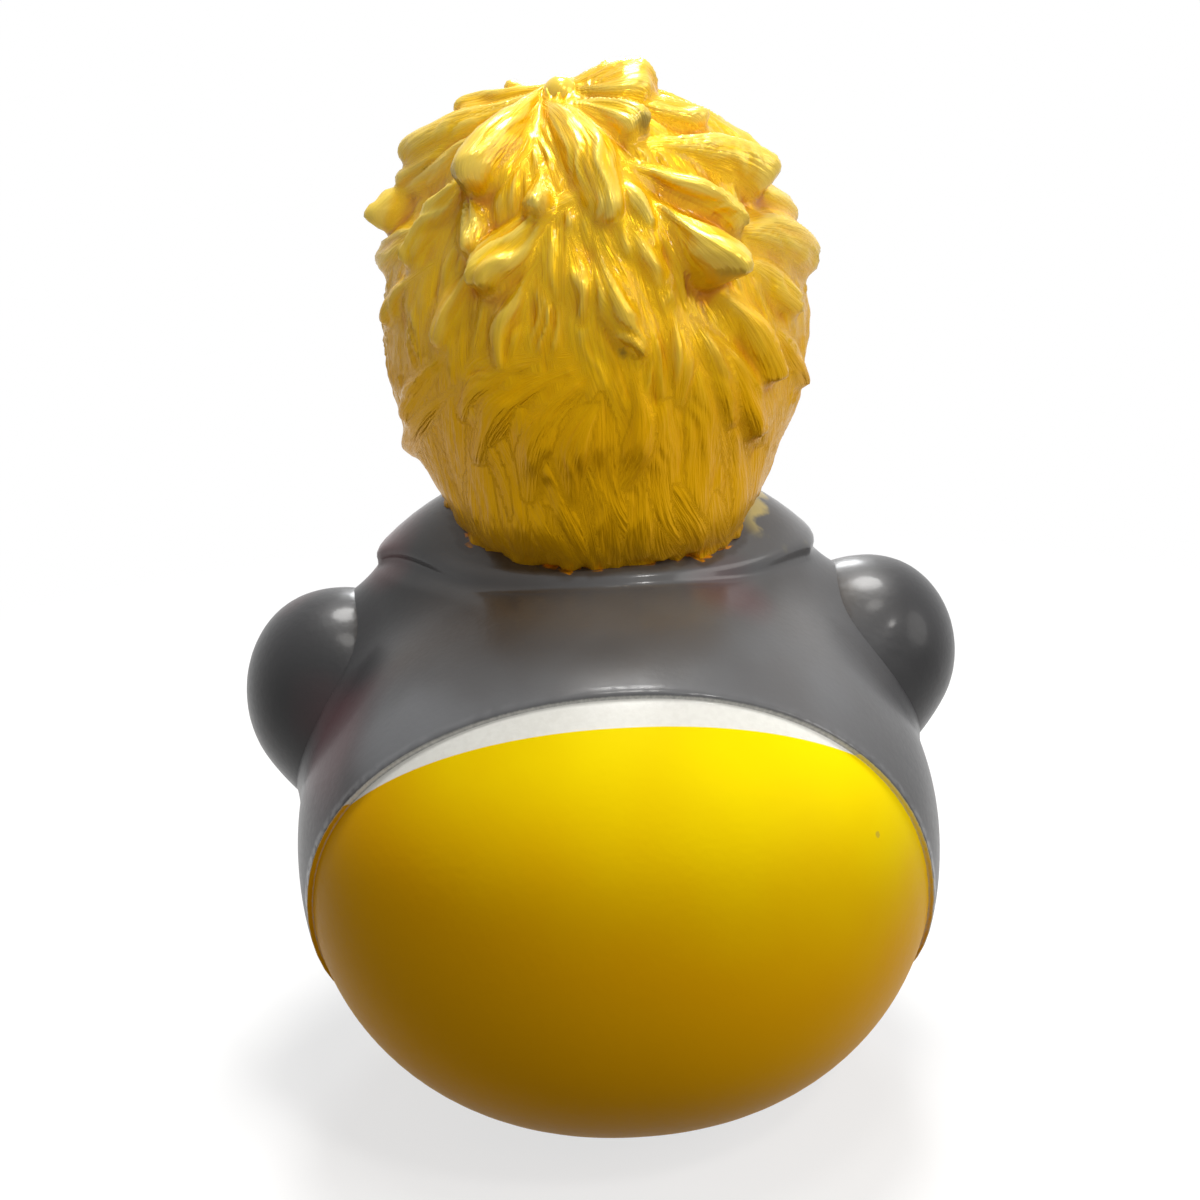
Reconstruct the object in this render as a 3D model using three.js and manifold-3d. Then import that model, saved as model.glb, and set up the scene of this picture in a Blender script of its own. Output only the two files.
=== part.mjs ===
// A bath duck in a jacket, moulded in soft vinyl as one piece.
// Millimetres, +Z up. The duck faces -Y and sits on its flat base with the origin on that face.
import * as THREE from "three";
import { mergeVertices } from "three/addons/utils/BufferGeometryUtils.js";
import Module from "manifold-3d";

const wasm = await Module();
wasm.setup();

// Rump, the round rear half of the body; the base cuts its lowest part off flat
const RUMP_WIDTH = 62.4;
const RUMP_LENGTH = 68;
const RUMP_HEIGHT = 53.6;
const RUMP_BACK = 7.7;
const RUMP_FULLNESS = 2.15;
const BASE_CUT = 2.6;

// Torso, the upright form that carries the shoulders
const TORSO_WIDTH = 52.4;
const TORSO_LENGTH = 27;
const TORSO_HEIGHT = 41.2;
const TORSO_FRONT = 3.2;
const TORSO_RISE = 13.9;

// Chest, the fuller front of the torso
const CHEST_WIDTH = 47;
const CHEST_LENGTH = 34;
const CHEST_HEIGHT = 38;
const CHEST_FRONT = 7.5;
const CHEST_RISE = 9.8;

// Jacket and shirt, raised steps on the body. Each hem is drawn in side view, as shares of the rump's
// half length behind its middle and of its half height above it
const JACKET_STEP = 0.8;
const SHIRT_STEP = 0.4;
const HEM_TILT = 4;
const JACKET_HEM = [
  [-1.55, -0.72], [-0.58, -0.7], [-0.05, -0.6], [0.215, -0.34],
  [0.38, 0.03], [0.465, 0.44], [0.58, 0.81], [0.77, 1.19],
];
const SHIRT_HEM = [[0.185, -0.08], [0.375, 0.18], [0.465, 0.46], [0.65, 0.745], [1.01, 0.96]];
const COLLAR_STEP = 1.6;
const COLLAR_RISE = 26.4;
const COLLAR_SLOPE = 2.9;

// Arms, bent at the elbow with the hands on the front of the jacket
const ARM_WIDTH = 13.8;
const ARM_LENGTH = 19.8;
const LEFT_ARM_HEIGHT = 19.6;
const RIGHT_ARM_HEIGHT = 18;
const LEFT_ELBOW_RISE = 12.5;
const RIGHT_ELBOW_RISE = 14.6;
const ARM_OUT = 3.8;
const ARM_FRONT = 3.3;
const FOREARM_LENGTH = 27;
const FOREARM_WIDTH = 13;
const FOREARM_IN = 2;
const FOREARM_DROP = 3.5;
const HAND_WIDTH = 9.6;
const HAND_SPREAD = 33;
const HAND_SINK = 2.8;
const HAND_RISE = 3.5;

// Head and face
const HEAD_WIDTH = 39.4;
const HEAD_LENGTH = 41;
const HEAD_HEIGHT = 45.2;
const HEAD_FRONT = 5.5;
const NECK_OVERLAP = 8.6;
const BILL_WIDTH = 22;
const BILL_REACH = 12;
const BILL_THICKNESS = 7.2;
const BILL_UPTURN = 1.6;
const LOWER_BILL_SHARE = 0.84;
const MOUTH_DROP = 8.4;
const EYE_WIDTH = 7.6;
const EYE_HEIGHT = 10;
const EYE_DEPTH = 5.2;
const EYE_SINK = 1.5;
const EYE_SPACING = 17;
const EYE_RISE = 4.5;

// Hair, a cap over the head with an open face and tufts that run out from the crown
const HAIR_THICKNESS = 1.9;
const FACE_WIDTH = 32;
const FACE_HEIGHT = 37;
const FACE_DROP = 5.9;
const FACE_START = 6;
const NAPE_WIDTH = 27;
const NAPE_LENGTH = 30;
const NAPE_HEIGHT = 26;
const NAPE_BEHIND = 1.8;
const NAPE_DROP = 11.5;
const TUFT_FLATNESS = 0.72;
const TUFT_TAPER = 0.3;
const TUFT_SWELL = 1.25;
const TUFT_SINK = 0.25;
// Where each tuft starts and ends, as bearing from straight back (towards +X) and elevation in degrees,
// then its width and how far its tip stands off the cap
const TUFTS = [
  [18, 68, 10, 66, 3.6, 3.4],
  [34, 76, 56, 62, 4.0, 1.6],
  [40, 70, 64, 53, 4.4, 2.0],
  [38, 62, 88, 40, 5.2, 3.2],
  [42, 50, 74, 33, 5.0, 2.6],
  [88, 36, 87, 24, 4.6, 4.8],
  [29, 56, 35, 33, 5.0, 2.6],
  [41, 44, 52, 15, 3.8, 1.4],
  [17, 52, 5, 22, 4.0, 1.6],
  [11, 33, 24, 12, 5.4, 1.6],
  [14, 75, -40, 60, 6.2, 2.8],
  [-5, 61, -44, 46, 4.2, 2.0],
  [0, 57, -17, 44, 4.2, 2.6],
  [-46, 60, -66, 33, 6.0, 3.0],
  [-17, 47, -51, 30, 4.6, 2.2],
  [-9, 40, -38, 22, 4.2, 1.8],
  [-40, 33, -68, 25, 4.8, 2.8],
  [-44, 22, -74, 14, 5.8, 2.8],
  [-22, 30, -25, 12, 6.0, 3.4],
  [5, 38, -5, 22, 4.2, 1.8],
  [0, 23, -9, 0, 4.6, 1.8],
  [70, 18, 80, 2, 4.2, 0.6],
  [-68, 20, -80, 4, 4.2, 0.6],
  [60, 66, 114, 44, 6.2, 2.6],
  [80, 72, 142, 48, 6.2, 2.6],
  [120, 76, 168, 42, 6.4, 2.8],
  [-60, 72, -114, 42, 6.2, 2.6],
  [-90, 76, -144, 44, 6.4, 2.8],
  [-150, 80, -170, 40, 6.4, 2.8],
  [98, 36, 116, 11, 5.4, 2.0],
  [-96, 34, -115, 10, 5.4, 2.0],
  [130, 52, 145, 30, 5.4, 1.8],
  [-128, 50, -148, 29, 5.4, 1.8],
];

// Fits that follow from the sizes
const rumpZ = RUMP_HEIGHT / 2 - BASE_CUT;
const torsoZ = rumpZ + TORSO_RISE;
const headZ = torsoZ + TORSO_HEIGHT / 2 + HEAD_HEIGHT / 2 - NECK_OVERLAP;
const faceY = -HEAD_FRONT - HEAD_LENGTH / 2;

const rumpSize = new THREE.Vector3(RUMP_WIDTH, RUMP_LENGTH, RUMP_HEIGHT);
const rumpPlace = new THREE.Vector3(0, RUMP_BACK, rumpZ);
const torsoSize = new THREE.Vector3(TORSO_WIDTH, TORSO_LENGTH, TORSO_HEIGHT);
const torsoPlace = new THREE.Vector3(0, -TORSO_FRONT, torsoZ);
const chestSize = new THREE.Vector3(CHEST_WIDTH, CHEST_LENGTH, CHEST_HEIGHT);
const chestPlace = new THREE.Vector3(0, -CHEST_FRONT, rumpZ + CHEST_RISE);
const headSize = new THREE.Vector3(HEAD_WIDTH, HEAD_LENGTH, HEAD_HEIGHT);
const headPlace = new THREE.Vector3(0, -HEAD_FRONT, headZ);

// Facets around and down each rounded form
const BODY_FACETS = [36, 20];
const TORSO_FACETS = [28, 14];
const HEAD_FACETS = [26, 16];
const LIMB_FACETS = [18, 12];
const FACE_FACETS = [20, 8];
const TUFT_FACETS = [7, 7];

// Room around the part that a cutting block has to span
const ROOM = 200;

// Turns a three.js shape into a solid that can be joined and cut
function solid(geometry) {
  geometry.deleteAttribute("normal");
  geometry.deleteAttribute("uv");
  const welded = mergeVertices(geometry, 1e-4);
  return new wasm.Manifold(new wasm.Mesh({
    numProp: 3,
    vertProperties: new Float32Array(welded.attributes.position.array),
    triVerts: new Uint32Array(welded.index.array),
  }));
}

// A ball of radius 1 with its poles up and down, its corners moved by a rule
function shapedBall([around, down], rule) {
  const ball = new THREE.SphereGeometry(1, around, down).rotateX(Math.PI / 2);
  const corners = ball.attributes.position;
  const corner = new THREE.Vector3();
  for (let i = 0; i < corners.count; i++) {
    rule(corner.fromBufferAttribute(corners, i));
    corners.setXYZ(i, corner.x, corner.y, corner.z);
  }
  return solid(ball);
}

// A rounded form of a given full size, grown by a step all round; a fullness over 2 squares its profile
function form(size, place, facets, { grow = 0, fullness = 2 } = {}) {
  return shapedBall(facets, (corner) => {
    const profile = Math.hypot(corner.x, corner.y) ** fullness + Math.abs(corner.z) ** fullness;
    corner.divideScalar(profile ** (1 / fullness));
    corner.set(
      corner.x * (size.x / 2 + grow),
      corner.y * (size.y / 2 + grow),
      corner.z * (size.z / 2 + grow),
    ).add(place);
  });
}

// A form laid along a line from one point to another
function limb(from, to, length, width) {
  const along = new THREE.Vector3().subVectors(to, from).normalize();
  const turn = new THREE.Quaternion().setFromUnitVectors(new THREE.Vector3(0, 0, 1), along);
  const middle = new THREE.Vector3().addVectors(from, to).multiplyScalar(0.5);
  return shapedBall(LIMB_FACETS, (corner) => {
    corner.set(corner.x * width / 2, corner.y * width / 2, corner.z * length / 2);
    corner.applyQuaternion(turn).add(middle);
  });
}

function rump(grow) {
  return form(rumpSize, rumpPlace, BODY_FACETS, { grow, fullness: RUMP_FULLNESS });
}

function torso(grow) {
  const upright = form(torsoSize, torsoPlace, TORSO_FACETS, { grow });
  return upright.add(form(chestSize, chestPlace, TORSO_FACETS, { grow }));
}

// Everything forward of a hem that is drawn in side view and runs across the whole width
function forwardOf(hem) {
  const points = hem.map(([back, height]) => new THREE.Vector2(
    RUMP_BACK + back * RUMP_LENGTH / 2,
    rumpZ + height * RUMP_HEIGHT / 2,
  ));
  const outline = new THREE.Shape();
  outline.moveTo(points[0].x, points[0].y);
  outline.splineThru(points.slice(1));
  outline.lineTo(points[points.length - 1].x, ROOM / 2);
  outline.lineTo(points[0].x, ROOM / 2);
  outline.closePath();
  const slab = new THREE.ExtrudeGeometry(outline, { depth: ROOM, bevelEnabled: false, curveSegments: 4 });
  slab.translate(0, 0, -ROOM / 2);
  const sideView = new THREE.Matrix4().makeBasis(
    new THREE.Vector3(0, 1, 0),
    new THREE.Vector3(0, 0, 1),
    new THREE.Vector3(1, 0, 0),
  );
  slab.applyMatrix4(sideView).rotateY(THREE.MathUtils.degToRad(HEM_TILT));
  return solid(slab);
}

function body() {
  const skin = rump(0).add(torso(0));
  const shirt = rump(SHIRT_STEP).intersect(forwardOf(SHIRT_HEM));
  const jacket = rump(JACKET_STEP).add(torso(JACKET_STEP)).intersect(forwardOf(JACKET_HEM));
  return skin.add(shirt).add(jacket);
}

// The turned-down collar, a thicker band of the torso above a nearly level plane
function collar() {
  const above = new THREE.BoxGeometry(ROOM, ROOM, ROOM).translate(0, 0, ROOM / 2);
  above.rotateX(THREE.MathUtils.degToRad(COLLAR_SLOPE)).translate(0, 0, rumpZ + COLLAR_RISE);
  return torso(COLLAR_STEP).intersect(solid(above));
}

function arm(side, height, rise) {
  const elbow = new THREE.Vector3(side * (TORSO_WIDTH / 2 + ARM_OUT), -ARM_FRONT, rumpZ + rise);
  const hand = new THREE.Vector3(
    side * HAND_SPREAD / 2,
    RUMP_BACK - RUMP_LENGTH / 2 + HAND_SINK,
    rumpZ + HAND_RISE,
  );
  const upper = form(new THREE.Vector3(ARM_WIDTH, ARM_LENGTH, height), elbow, LIMB_FACETS);
  const bend = elbow.clone().add(new THREE.Vector3(-side * FOREARM_IN, -FOREARM_IN, -FOREARM_DROP));
  const sleeve = limb(bend, hand, FOREARM_LENGTH, FOREARM_WIDTH);
  const palm = form(new THREE.Vector3(HAND_WIDTH, HAND_WIDTH, HAND_WIDTH), hand, LIMB_FACETS);
  return upper.add(sleeve).add(palm);
}

// A point on the hair cap in a direction from the middle of the head, measured from that middle
function onHair(bearing, elevation) {
  const a = THREE.MathUtils.degToRad(bearing);
  const e = THREE.MathUtils.degToRad(elevation);
  const way = new THREE.Vector3(Math.sin(a) * Math.cos(e), Math.cos(a) * Math.cos(e), Math.sin(e));
  return way.multiply(headSize.clone().multiplyScalar(0.5).addScalar(HAIR_THICKNESS));
}

// One tuft swept over the cap from its root to its free tip
function tuft([rootBearing, rootElevation, tipBearing, tipElevation, width, lift]) {
  const root = onHair(rootBearing, rootElevation);
  const tip = onHair(tipBearing, tipElevation);
  const spine = (t) => {
    const along = new THREE.Vector3().lerpVectors(root, tip, t);
    const reach = THREE.MathUtils.lerp(root.length(), tip.length(), t);
    return along.setLength(reach - width * TUFT_SINK * (1 - t) + lift * t * t).add(headPlace);
  };
  return shapedBall(TUFT_FACETS, (corner) => {
    const t = (corner.z + 1) / 2;
    const round = Math.hypot(corner.x, corner.y);
    const swell = round > 1e-6 ? Math.min(1, TUFT_SWELL * round) * (1 - TUFT_TAPER * t) / round : 0;
    const centre = spine(t);
    const along = spine(t + 0.01).sub(spine(t - 0.01)).normalize();
    const out = centre.clone().sub(headPlace).normalize();
    const across = new THREE.Vector3().crossVectors(out, along).normalize();
    out.crossVectors(along, across);
    const sideways = corner.x * swell * width / 2;
    const outwards = corner.y * swell * TUFT_FLATNESS * width / 2;
    corner.copy(centre).addScaledVector(across, sideways).addScaledVector(out, outwards);
  });
}

function hair() {
  const cap = form(headSize, headPlace, HEAD_FACETS, { grow: HAIR_THICKNESS });
  const face = new THREE.CylinderGeometry(0.5, 0.5, ROOM, 24).scale(FACE_WIDTH, 1, FACE_HEIGHT);
  face.translate(0, -HEAD_FRONT - FACE_START - ROOM / 2, headZ - FACE_DROP);
  const napeSize = new THREE.Vector3(NAPE_WIDTH, NAPE_LENGTH, NAPE_HEIGHT);
  const napePlace = new THREE.Vector3(0, NAPE_BEHIND - HEAD_FRONT, headZ - NAPE_DROP);
  const nape = form(napeSize, napePlace, HEAD_FACETS);
  return TUFTS.reduce((whole, row) => whole.add(tuft(row)), cap.add(nape).subtract(solid(face)));
}

// One half of the bill, rooted in the face and turned up towards its tip
function halfBill(share, offset) {
  return shapedBall(FACE_FACETS, (corner) => {
    const forward = Math.max(0, -corner.y);
    corner.set(
      corner.x * share * BILL_WIDTH / 2,
      faceY + corner.y * share * BILL_REACH,
      headZ - MOUTH_DROP + offset + corner.z * share * BILL_THICKNESS / 2 + BILL_UPTURN * forward ** 2,
    );
  });
}

function bill() {
  const apart = BILL_THICKNESS / 4;
  return halfBill(1, apart).add(halfBill(LOWER_BILL_SHARE, -apart));
}

function eye(side) {
  const aside = side * EYE_SPACING / 2;
  const inFront = 1 - (2 * aside / HEAD_WIDTH) ** 2 - (2 * EYE_RISE / HEAD_HEIGHT) ** 2;
  const y = -HEAD_FRONT - Math.sqrt(inFront) * HEAD_LENGTH / 2 + EYE_SINK;
  const size = new THREE.Vector3(EYE_WIDTH, EYE_DEPTH, EYE_HEIGHT);
  return form(size, new THREE.Vector3(aside, y, headZ + EYE_RISE), FACE_FACETS);
}

// Fills the small pockets that neighbouring tufts close over, by keeping only the outermost skin
function filled(shape) {
  const made = shape.getMesh();
  const group = Array.from({ length: made.numVert }, (_, i) => i);
  const find = (i) => {
    while (group[i] !== i) {
      group[i] = group[group[i]];
      i = group[i];
    }
    return i;
  };
  for (let t = 0; t < made.triVerts.length; t += 3) {
    group[find(made.triVerts[t + 1])] = find(made.triVerts[t]);
    group[find(made.triVerts[t + 2])] = find(made.triVerts[t]);
  }
  const height = (i) => made.vertProperties[i * made.numProp + 2];
  let lowest = 0;
  for (let i = 1; i < made.numVert; i++) {
    if (height(i) < height(lowest)) lowest = i;
  }
  const outer = find(lowest);
  const kept = [];
  for (let t = 0; t < made.triVerts.length; t += 3) {
    if (find(made.triVerts[t]) === outer) {
      kept.push(made.triVerts[t], made.triVerts[t + 1], made.triVerts[t + 2]);
    }
  }
  return new wasm.Manifold(new wasm.Mesh({
    numProp: made.numProp,
    vertProperties: made.vertProperties,
    triVerts: new Uint32Array(kept),
  }));
}

// Turns the finished solid back into a three.js mesh
function mesh(name, shape, colour) {
  const made = shape.getMesh();
  const geometry = new THREE.BufferGeometry();
  geometry.setAttribute("position", new THREE.BufferAttribute(new Float32Array(made.vertProperties), 3));
  geometry.setIndex(new THREE.BufferAttribute(new Uint32Array(made.triVerts), 1));
  geometry.computeVertexNormals();
  const material = new THREE.MeshStandardMaterial({ color: colour, roughness: 0.4, metalness: 0 });
  const piece = new THREE.Mesh(geometry, material);
  piece.name = name;
  return piece;
}

const belowBase = solid(new THREE.BoxGeometry(ROOM, ROOM, ROOM).translate(0, 0, -ROOM / 2));
const outside = body()
  .add(collar())
  .add(arm(1, LEFT_ARM_HEIGHT, LEFT_ELBOW_RISE))
  .add(arm(-1, RIGHT_ARM_HEIGHT, RIGHT_ELBOW_RISE))
  .add(form(headSize, headPlace, HEAD_FACETS))
  .add(hair())
  .add(bill())
  .add(eye(1))
  .add(eye(-1));
const moulding = filled(outside.subtract(belowBase));

const part = new THREE.Group();
part.name = "bath_duck";
part.add(mesh("duck", moulding, 0xf2c800));

export default part;
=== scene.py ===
"""A bath duck in a jacket, one soft vinyl moulding with painted hair, seen from behind."""
import math
import random

import bpy
import numpy as np
from mathutils import Matrix, Vector, noise
from mathutils.kdtree import KDTree


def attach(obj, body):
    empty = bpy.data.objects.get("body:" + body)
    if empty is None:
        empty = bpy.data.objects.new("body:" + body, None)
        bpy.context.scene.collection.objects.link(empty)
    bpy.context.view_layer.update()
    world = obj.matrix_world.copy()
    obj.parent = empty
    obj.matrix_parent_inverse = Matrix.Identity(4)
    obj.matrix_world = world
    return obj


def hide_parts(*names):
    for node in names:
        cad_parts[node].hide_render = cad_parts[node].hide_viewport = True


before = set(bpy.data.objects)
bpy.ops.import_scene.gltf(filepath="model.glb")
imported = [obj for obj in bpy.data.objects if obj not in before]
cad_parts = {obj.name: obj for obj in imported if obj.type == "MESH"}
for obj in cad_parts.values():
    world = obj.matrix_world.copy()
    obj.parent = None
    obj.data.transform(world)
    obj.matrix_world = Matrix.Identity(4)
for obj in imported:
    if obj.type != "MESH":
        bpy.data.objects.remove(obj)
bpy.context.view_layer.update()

# Shapes are worked out in millimetres and written to the meshes in metres
MM = 0.001
# Points closer than this, in metres, are closed into one along a seam
SEAM_GAP = 1e-7
# How far one round of softening draws a point towards its neighbours
SOFTENING = 0.5
# How far from its middle a skin is searched for, and how many times that way is halved
FURTHEST = 90.0
HALVINGS = 28
# Fullness of a plain ellipsoid
ROUND = 2.0
# The way the duck faces
FORWARD = np.array([0.0, -1.0, 0.0])

# Camera behind the duck, as the photograph was taken, in millimetres and degrees
AIM = (0.7, 0.0, 46.2)
CAMERA_DISTANCE = 181.5
CAMERA_BEARING = 2.5
CAMERA_ELEVATION = 18.0
CAMERA_ROLL = 1.9
LENS = 53.7
SENSOR_WIDTH = 36.0
# Nearest that the camera sees, in metres
CLIP_START = 0.01

# Body forms: middle, half sizes and fullness
RUMP = ((0.1, 7.7, 24.2), (31.2, 34.0, 26.6), 2.13)
TORSO = ((0.9, -3.5, 38.1), (25.2, 12.5, 20.6), ROUND)
CHEST = ((0.4, -7.5, 34.0), (23.2, 16.5, 19.0), ROUND)
BODY_FORMS = (RUMP, TORSO, CHEST)
BODY_BLEND = 2.0
BODY_MIDDLE = (0.0, 3.0, 26.0)
BODY_COLUMNS = 288
BODY_SAMPLES = 320
# Rows of points on the rump, on the shirt's edge, on the jacket and above the collar
RUMP_ROWS = 45
SHIRT_ROWS = 6
JACKET_ROWS = 75
NECK_ROWS = 15

# Jacket: how far it stands off the body, and how far back its hem reaches at a height
JACKET_LIFT = 0.5
HEM_START = 18.9
HEM_SLOPE = 0.22
HEM_SWEEP = 45.0
HEM_FOOT = 4.0
HEM_LOWEST = HEM_FOOT + 0.2
HEM_SKEW = 6.5e-5
# Shirt: how far back it reaches at a height, its least width, and heights between which it ends
SHIRT_START = 24.8
SHIRT_SLOPE = 0.72
SHIRT_FOOT = 36.5
SHIRT_LEAST = 0.05
SHIRT_LOW = (14.0, 15.0)
# Collar: its edge in height and in plan, how far it stands out, and the room below its lip
COLLAR_FOOT = 49.8
COLLAR_SLOPE = -0.03
COLLAR_BACK = 11.9
COLLAR_CURVE = 0.03
COLLAR_LIFT = 1.2
COLLAR_ROOM = 1.2
# Arms: place and size of each elbow; left is +X. Then the soft corner between arm and jacket
ARMS = (((28.9, -2.6, 36.9), (17.0, 20.5, 20.8)), ((-28.0, -2.6, 38.8), (16.4, 20.5, 19.2)))
FILLET_LIFT = 0.9
FILLET_REACH = 3.2
# Front of the jacket: opening over the shirt, lapels, and the panel that laps over below them
OPENING_FOOT = 24.0
OPENING_SPREAD = 0.36
OPENING_EDGE = 0.3
LAPEL_WIDTH = 7.0
LAPEL_EDGE = 0.4
LAPEL_NOTCH = 42.0
NOTCH_DEPTH = 2.4
NOTCH_RISE = 0.8
LAPEL_LIFT = 0.7
SHIRT_SINK = 0.3
PANEL_EDGE = (-2.3, -1.7)
PANEL_FADE = (2.0, 14.0)
PANEL_TOP = 0.5
PANEL_LIFT = 0.45
FRONT_FADE = (9.0, 14.0)
# Lips of the hem and of the collar: way up from the edge, then the share of the lift
HEM_LIP = ((0.0, 0.0), (0.06, 0.45), (0.18, 0.78), (0.38, 0.94), (0.7, 1.0), (1.2, 1.0))
COLLAR_LIP = (
    (-0.8, 0.0), (-0.4, 0.1), (-0.1, 0.32), (0.15, 0.6), (0.5, 0.83), (1.0, 0.96), (1.6, 1.0),
)

# Head and hair cap
HEAD_MIDDLE = np.array([0.0, -5.5, 72.7])
HEAD_HALF = np.array([19.7, 20.5, 22.6])
CAP_HALF = np.array([20.7, 21.8, 23.7])
# Crown: millimetres to the right of and above the middle of the head, as the camera sees it
CROWN = (-4.6, 23.2)


def deselect():
    if bpy.context.object and bpy.context.object.mode != "OBJECT":
        bpy.ops.object.mode_set(mode="OBJECT")
    bpy.ops.object.select_all(action="DESELECT")


def select(piece):
    deselect()
    piece.select_set(True)
    bpy.context.view_layer.objects.active = piece


def refine(piece, kind, **settings):
    """Add a modifier with its settings and apply it."""
    select(piece)
    bpy.ops.object.modifier_add(type=kind)
    modifier = piece.modifiers[-1]
    for name, value in settings.items():
        setattr(modifier, name, value)
    bpy.ops.object.modifier_apply(modifier=modifier.name)
    return piece


def join(name, pieces):
    deselect()
    for piece in pieces:
        piece.select_set(True)
    bpy.context.view_layer.objects.active = pieces[0]
    bpy.ops.object.join()
    pieces[0].name = name
    pieces[0].data.name = name
    return pieces[0]


def points_of(piece):
    flat = np.empty(len(piece.data.vertices) * 3)
    piece.data.vertices.foreach_get("co", flat)
    return flat.reshape(-1, 3) / MM


def move_points(piece, points):
    piece.data.vertices.foreach_set("co", (points * MM).ravel())
    piece.data.update()


def mark(piece, name, values):
    """Keep one number per point on a piece, for later steps and for its shader."""
    layer = piece.data.attributes.new(name, "FLOAT", "POINT")
    layer.data.foreach_set("value", np.asarray(values, dtype=np.float32))


def read_mark(piece, name):
    values = np.empty(len(piece.data.vertices), dtype=np.float32)
    piece.data.attributes[name].data.foreach_get("value", values)
    return values


def ball(name, size, place, turn=(0, 0, 0), columns=48, rows=32):
    """A round form at its size and place, in millimetres and degrees."""
    deselect()
    bpy.ops.mesh.primitive_uv_sphere_add(
        segments=columns, ring_count=rows, radius=0.5,
        location=[value * MM for value in place],
        rotation=[math.radians(angle) for angle in turn],
        scale=[value * MM for value in size],
    )
    piece = bpy.context.object
    piece.name = name
    bpy.ops.object.transform_apply(location=True, rotation=True, scale=True)
    return piece


def shaped_ball(name, rings, low, high, marks):
    """A flat grid rolled up into the given loops of points and closed at its low and high poles."""
    rows = len(rings) + 1
    columns = rings.shape[1]
    deselect()
    bpy.ops.mesh.primitive_grid_add(x_subdivisions=columns, y_subdivisions=rows, size=2.0)
    piece = bpy.context.object
    piece.name = name
    start = points_of(piece) * MM
    level = np.rint((start[:, 1] + 1) / 2 * rows).astype(int)
    column = np.rint((start[:, 0] + 1) / 2 * columns).astype(int) % columns
    ring = np.clip(level - 1, 0, rows - 2)
    placed = rings[ring, column]
    placed[level == 0] = low
    placed[level == rows] = high
    move_points(piece, placed)
    for title, values in marks.items():
        mark(piece, title, values.reshape(rows - 1, columns)[ring, column])
    bpy.ops.object.mode_set(mode="EDIT")
    bpy.ops.mesh.select_all(action="SELECT")
    bpy.ops.mesh.remove_doubles(threshold=SEAM_GAP)
    bpy.ops.mesh.normals_make_consistent(inside=False)
    bpy.ops.object.mode_set(mode="OBJECT")
    return piece


def melt(name, pieces, voxel, smoothing):
    """Pieces moulded into one skin, with the joints between them softened."""
    piece = join(name, pieces)
    refine(piece, "REMESH", mode="VOXEL", voxel_size=voxel * MM)
    refine(piece, "SMOOTH", factor=SOFTENING, iterations=smoothing)
    return piece


def unit(vectors):
    return vectors / np.linalg.norm(vectors, axis=-1, keepdims=True)


def camera_place():
    """Where the camera stands in millimetres, and its axes: right, up and back."""
    bearing = math.radians(CAMERA_BEARING)
    rise = math.radians(CAMERA_ELEVATION)
    roll = math.radians(CAMERA_ROLL)
    back = np.array([
        math.sin(bearing) * math.cos(rise),
        math.cos(bearing) * math.cos(rise),
        math.sin(rise),
    ])
    right = unit(np.cross(-back, [0.0, 0.0, 1.0]))
    up = np.cross(back, right)
    tilted_right = right * math.cos(roll) - up * math.sin(roll)
    tilted_up = right * math.sin(roll) + up * math.cos(roll)
    return np.array(AIM) + back * CAMERA_DISTANCE, (tilted_right, tilted_up, back)


def smooth_step(value, low, high):
    share = np.clip((value - low) / (high - low), 0, 1)
    return share * share * (3 - 2 * share)


def form_depth(points, middle, half, fullness):
    """How far points lie outside a round form, as a rough distance."""
    half = np.array(half)
    reach = (np.abs((points - np.array(middle)) / half) ** fullness).sum(-1) ** (1 / fullness)
    return (reach - 1) * half.min()


def blended_depth(points, forms, blend):
    total = sum(np.exp(-form_depth(points, *form) / blend) for form in forms)
    return -blend * np.log(total)


def all_ways(columns, rows):
    """Directions all round, in rows from straight down to straight up."""
    bearing = np.arange(columns) * 2 * math.pi / columns
    climb = np.linspace(0.0, math.pi, rows)[:, None]
    return np.stack([
        np.sin(climb) * np.cos(bearing),
        np.sin(climb) * np.sin(bearing),
        -np.cos(climb) * np.ones_like(bearing),
    ], -1)


def skin_reach(depth, start, directions):
    """How far along each direction the skin lies, found by halving."""
    near = np.zeros(directions.shape[:-1])
    far = np.full(directions.shape[:-1], FURTHEST)
    for _ in range(HALVINGS):
        middle = (near + far) / 2
        inside = depth(start + middle[..., None] * directions) < 0
        near = np.where(inside, middle, near)
        far = np.where(inside, far, middle)
    return (near + far) / 2


def skin_normals(depth, points, step=0.05):
    slope = [depth(points + axis * step) - depth(points - axis * step) for axis in np.eye(3)]
    return unit(np.stack(slope, -1))


def body_depth(points):
    return blended_depth(points, BODY_FORMS, BODY_BLEND)


def hem_back(x, z):
    """How far back the jacket reaches at a height; works on numbers and on shader values."""
    return HEM_START + HEM_SLOPE * z - HEM_SWEEP / (z - HEM_FOOT) - HEM_SKEW * (x * x * x)


def shirt_back(z):
    """How far back the shirt reaches at a height."""
    return SHIRT_START + SHIRT_SLOPE * (z - SHIRT_FOOT)


def below_collar(x, y, z):
    """How far points lie short of the collar: below it in front, behind its curve at the back."""
    return np.maximum(COLLAR_FOOT + COLLAR_SLOPE * y - z, y - COLLAR_BACK + COLLAR_CURVE * x * x)


def opening_half(z):
    """Half the width of the jacket's opening over the shirt front at a height."""
    return OPENING_SPREAD * (z - OPENING_FOOT)


def shirt_front(points):
    """1 on the shirt between the lapels, 0 elsewhere."""
    x, y, z = np.moveaxis(points, -1, 0)
    beside = smooth_step(np.abs(x) - opening_half(z), -OPENING_EDGE, OPENING_EDGE)
    return smooth_step(-y, *FRONT_FADE) * (1 - beside)


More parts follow.
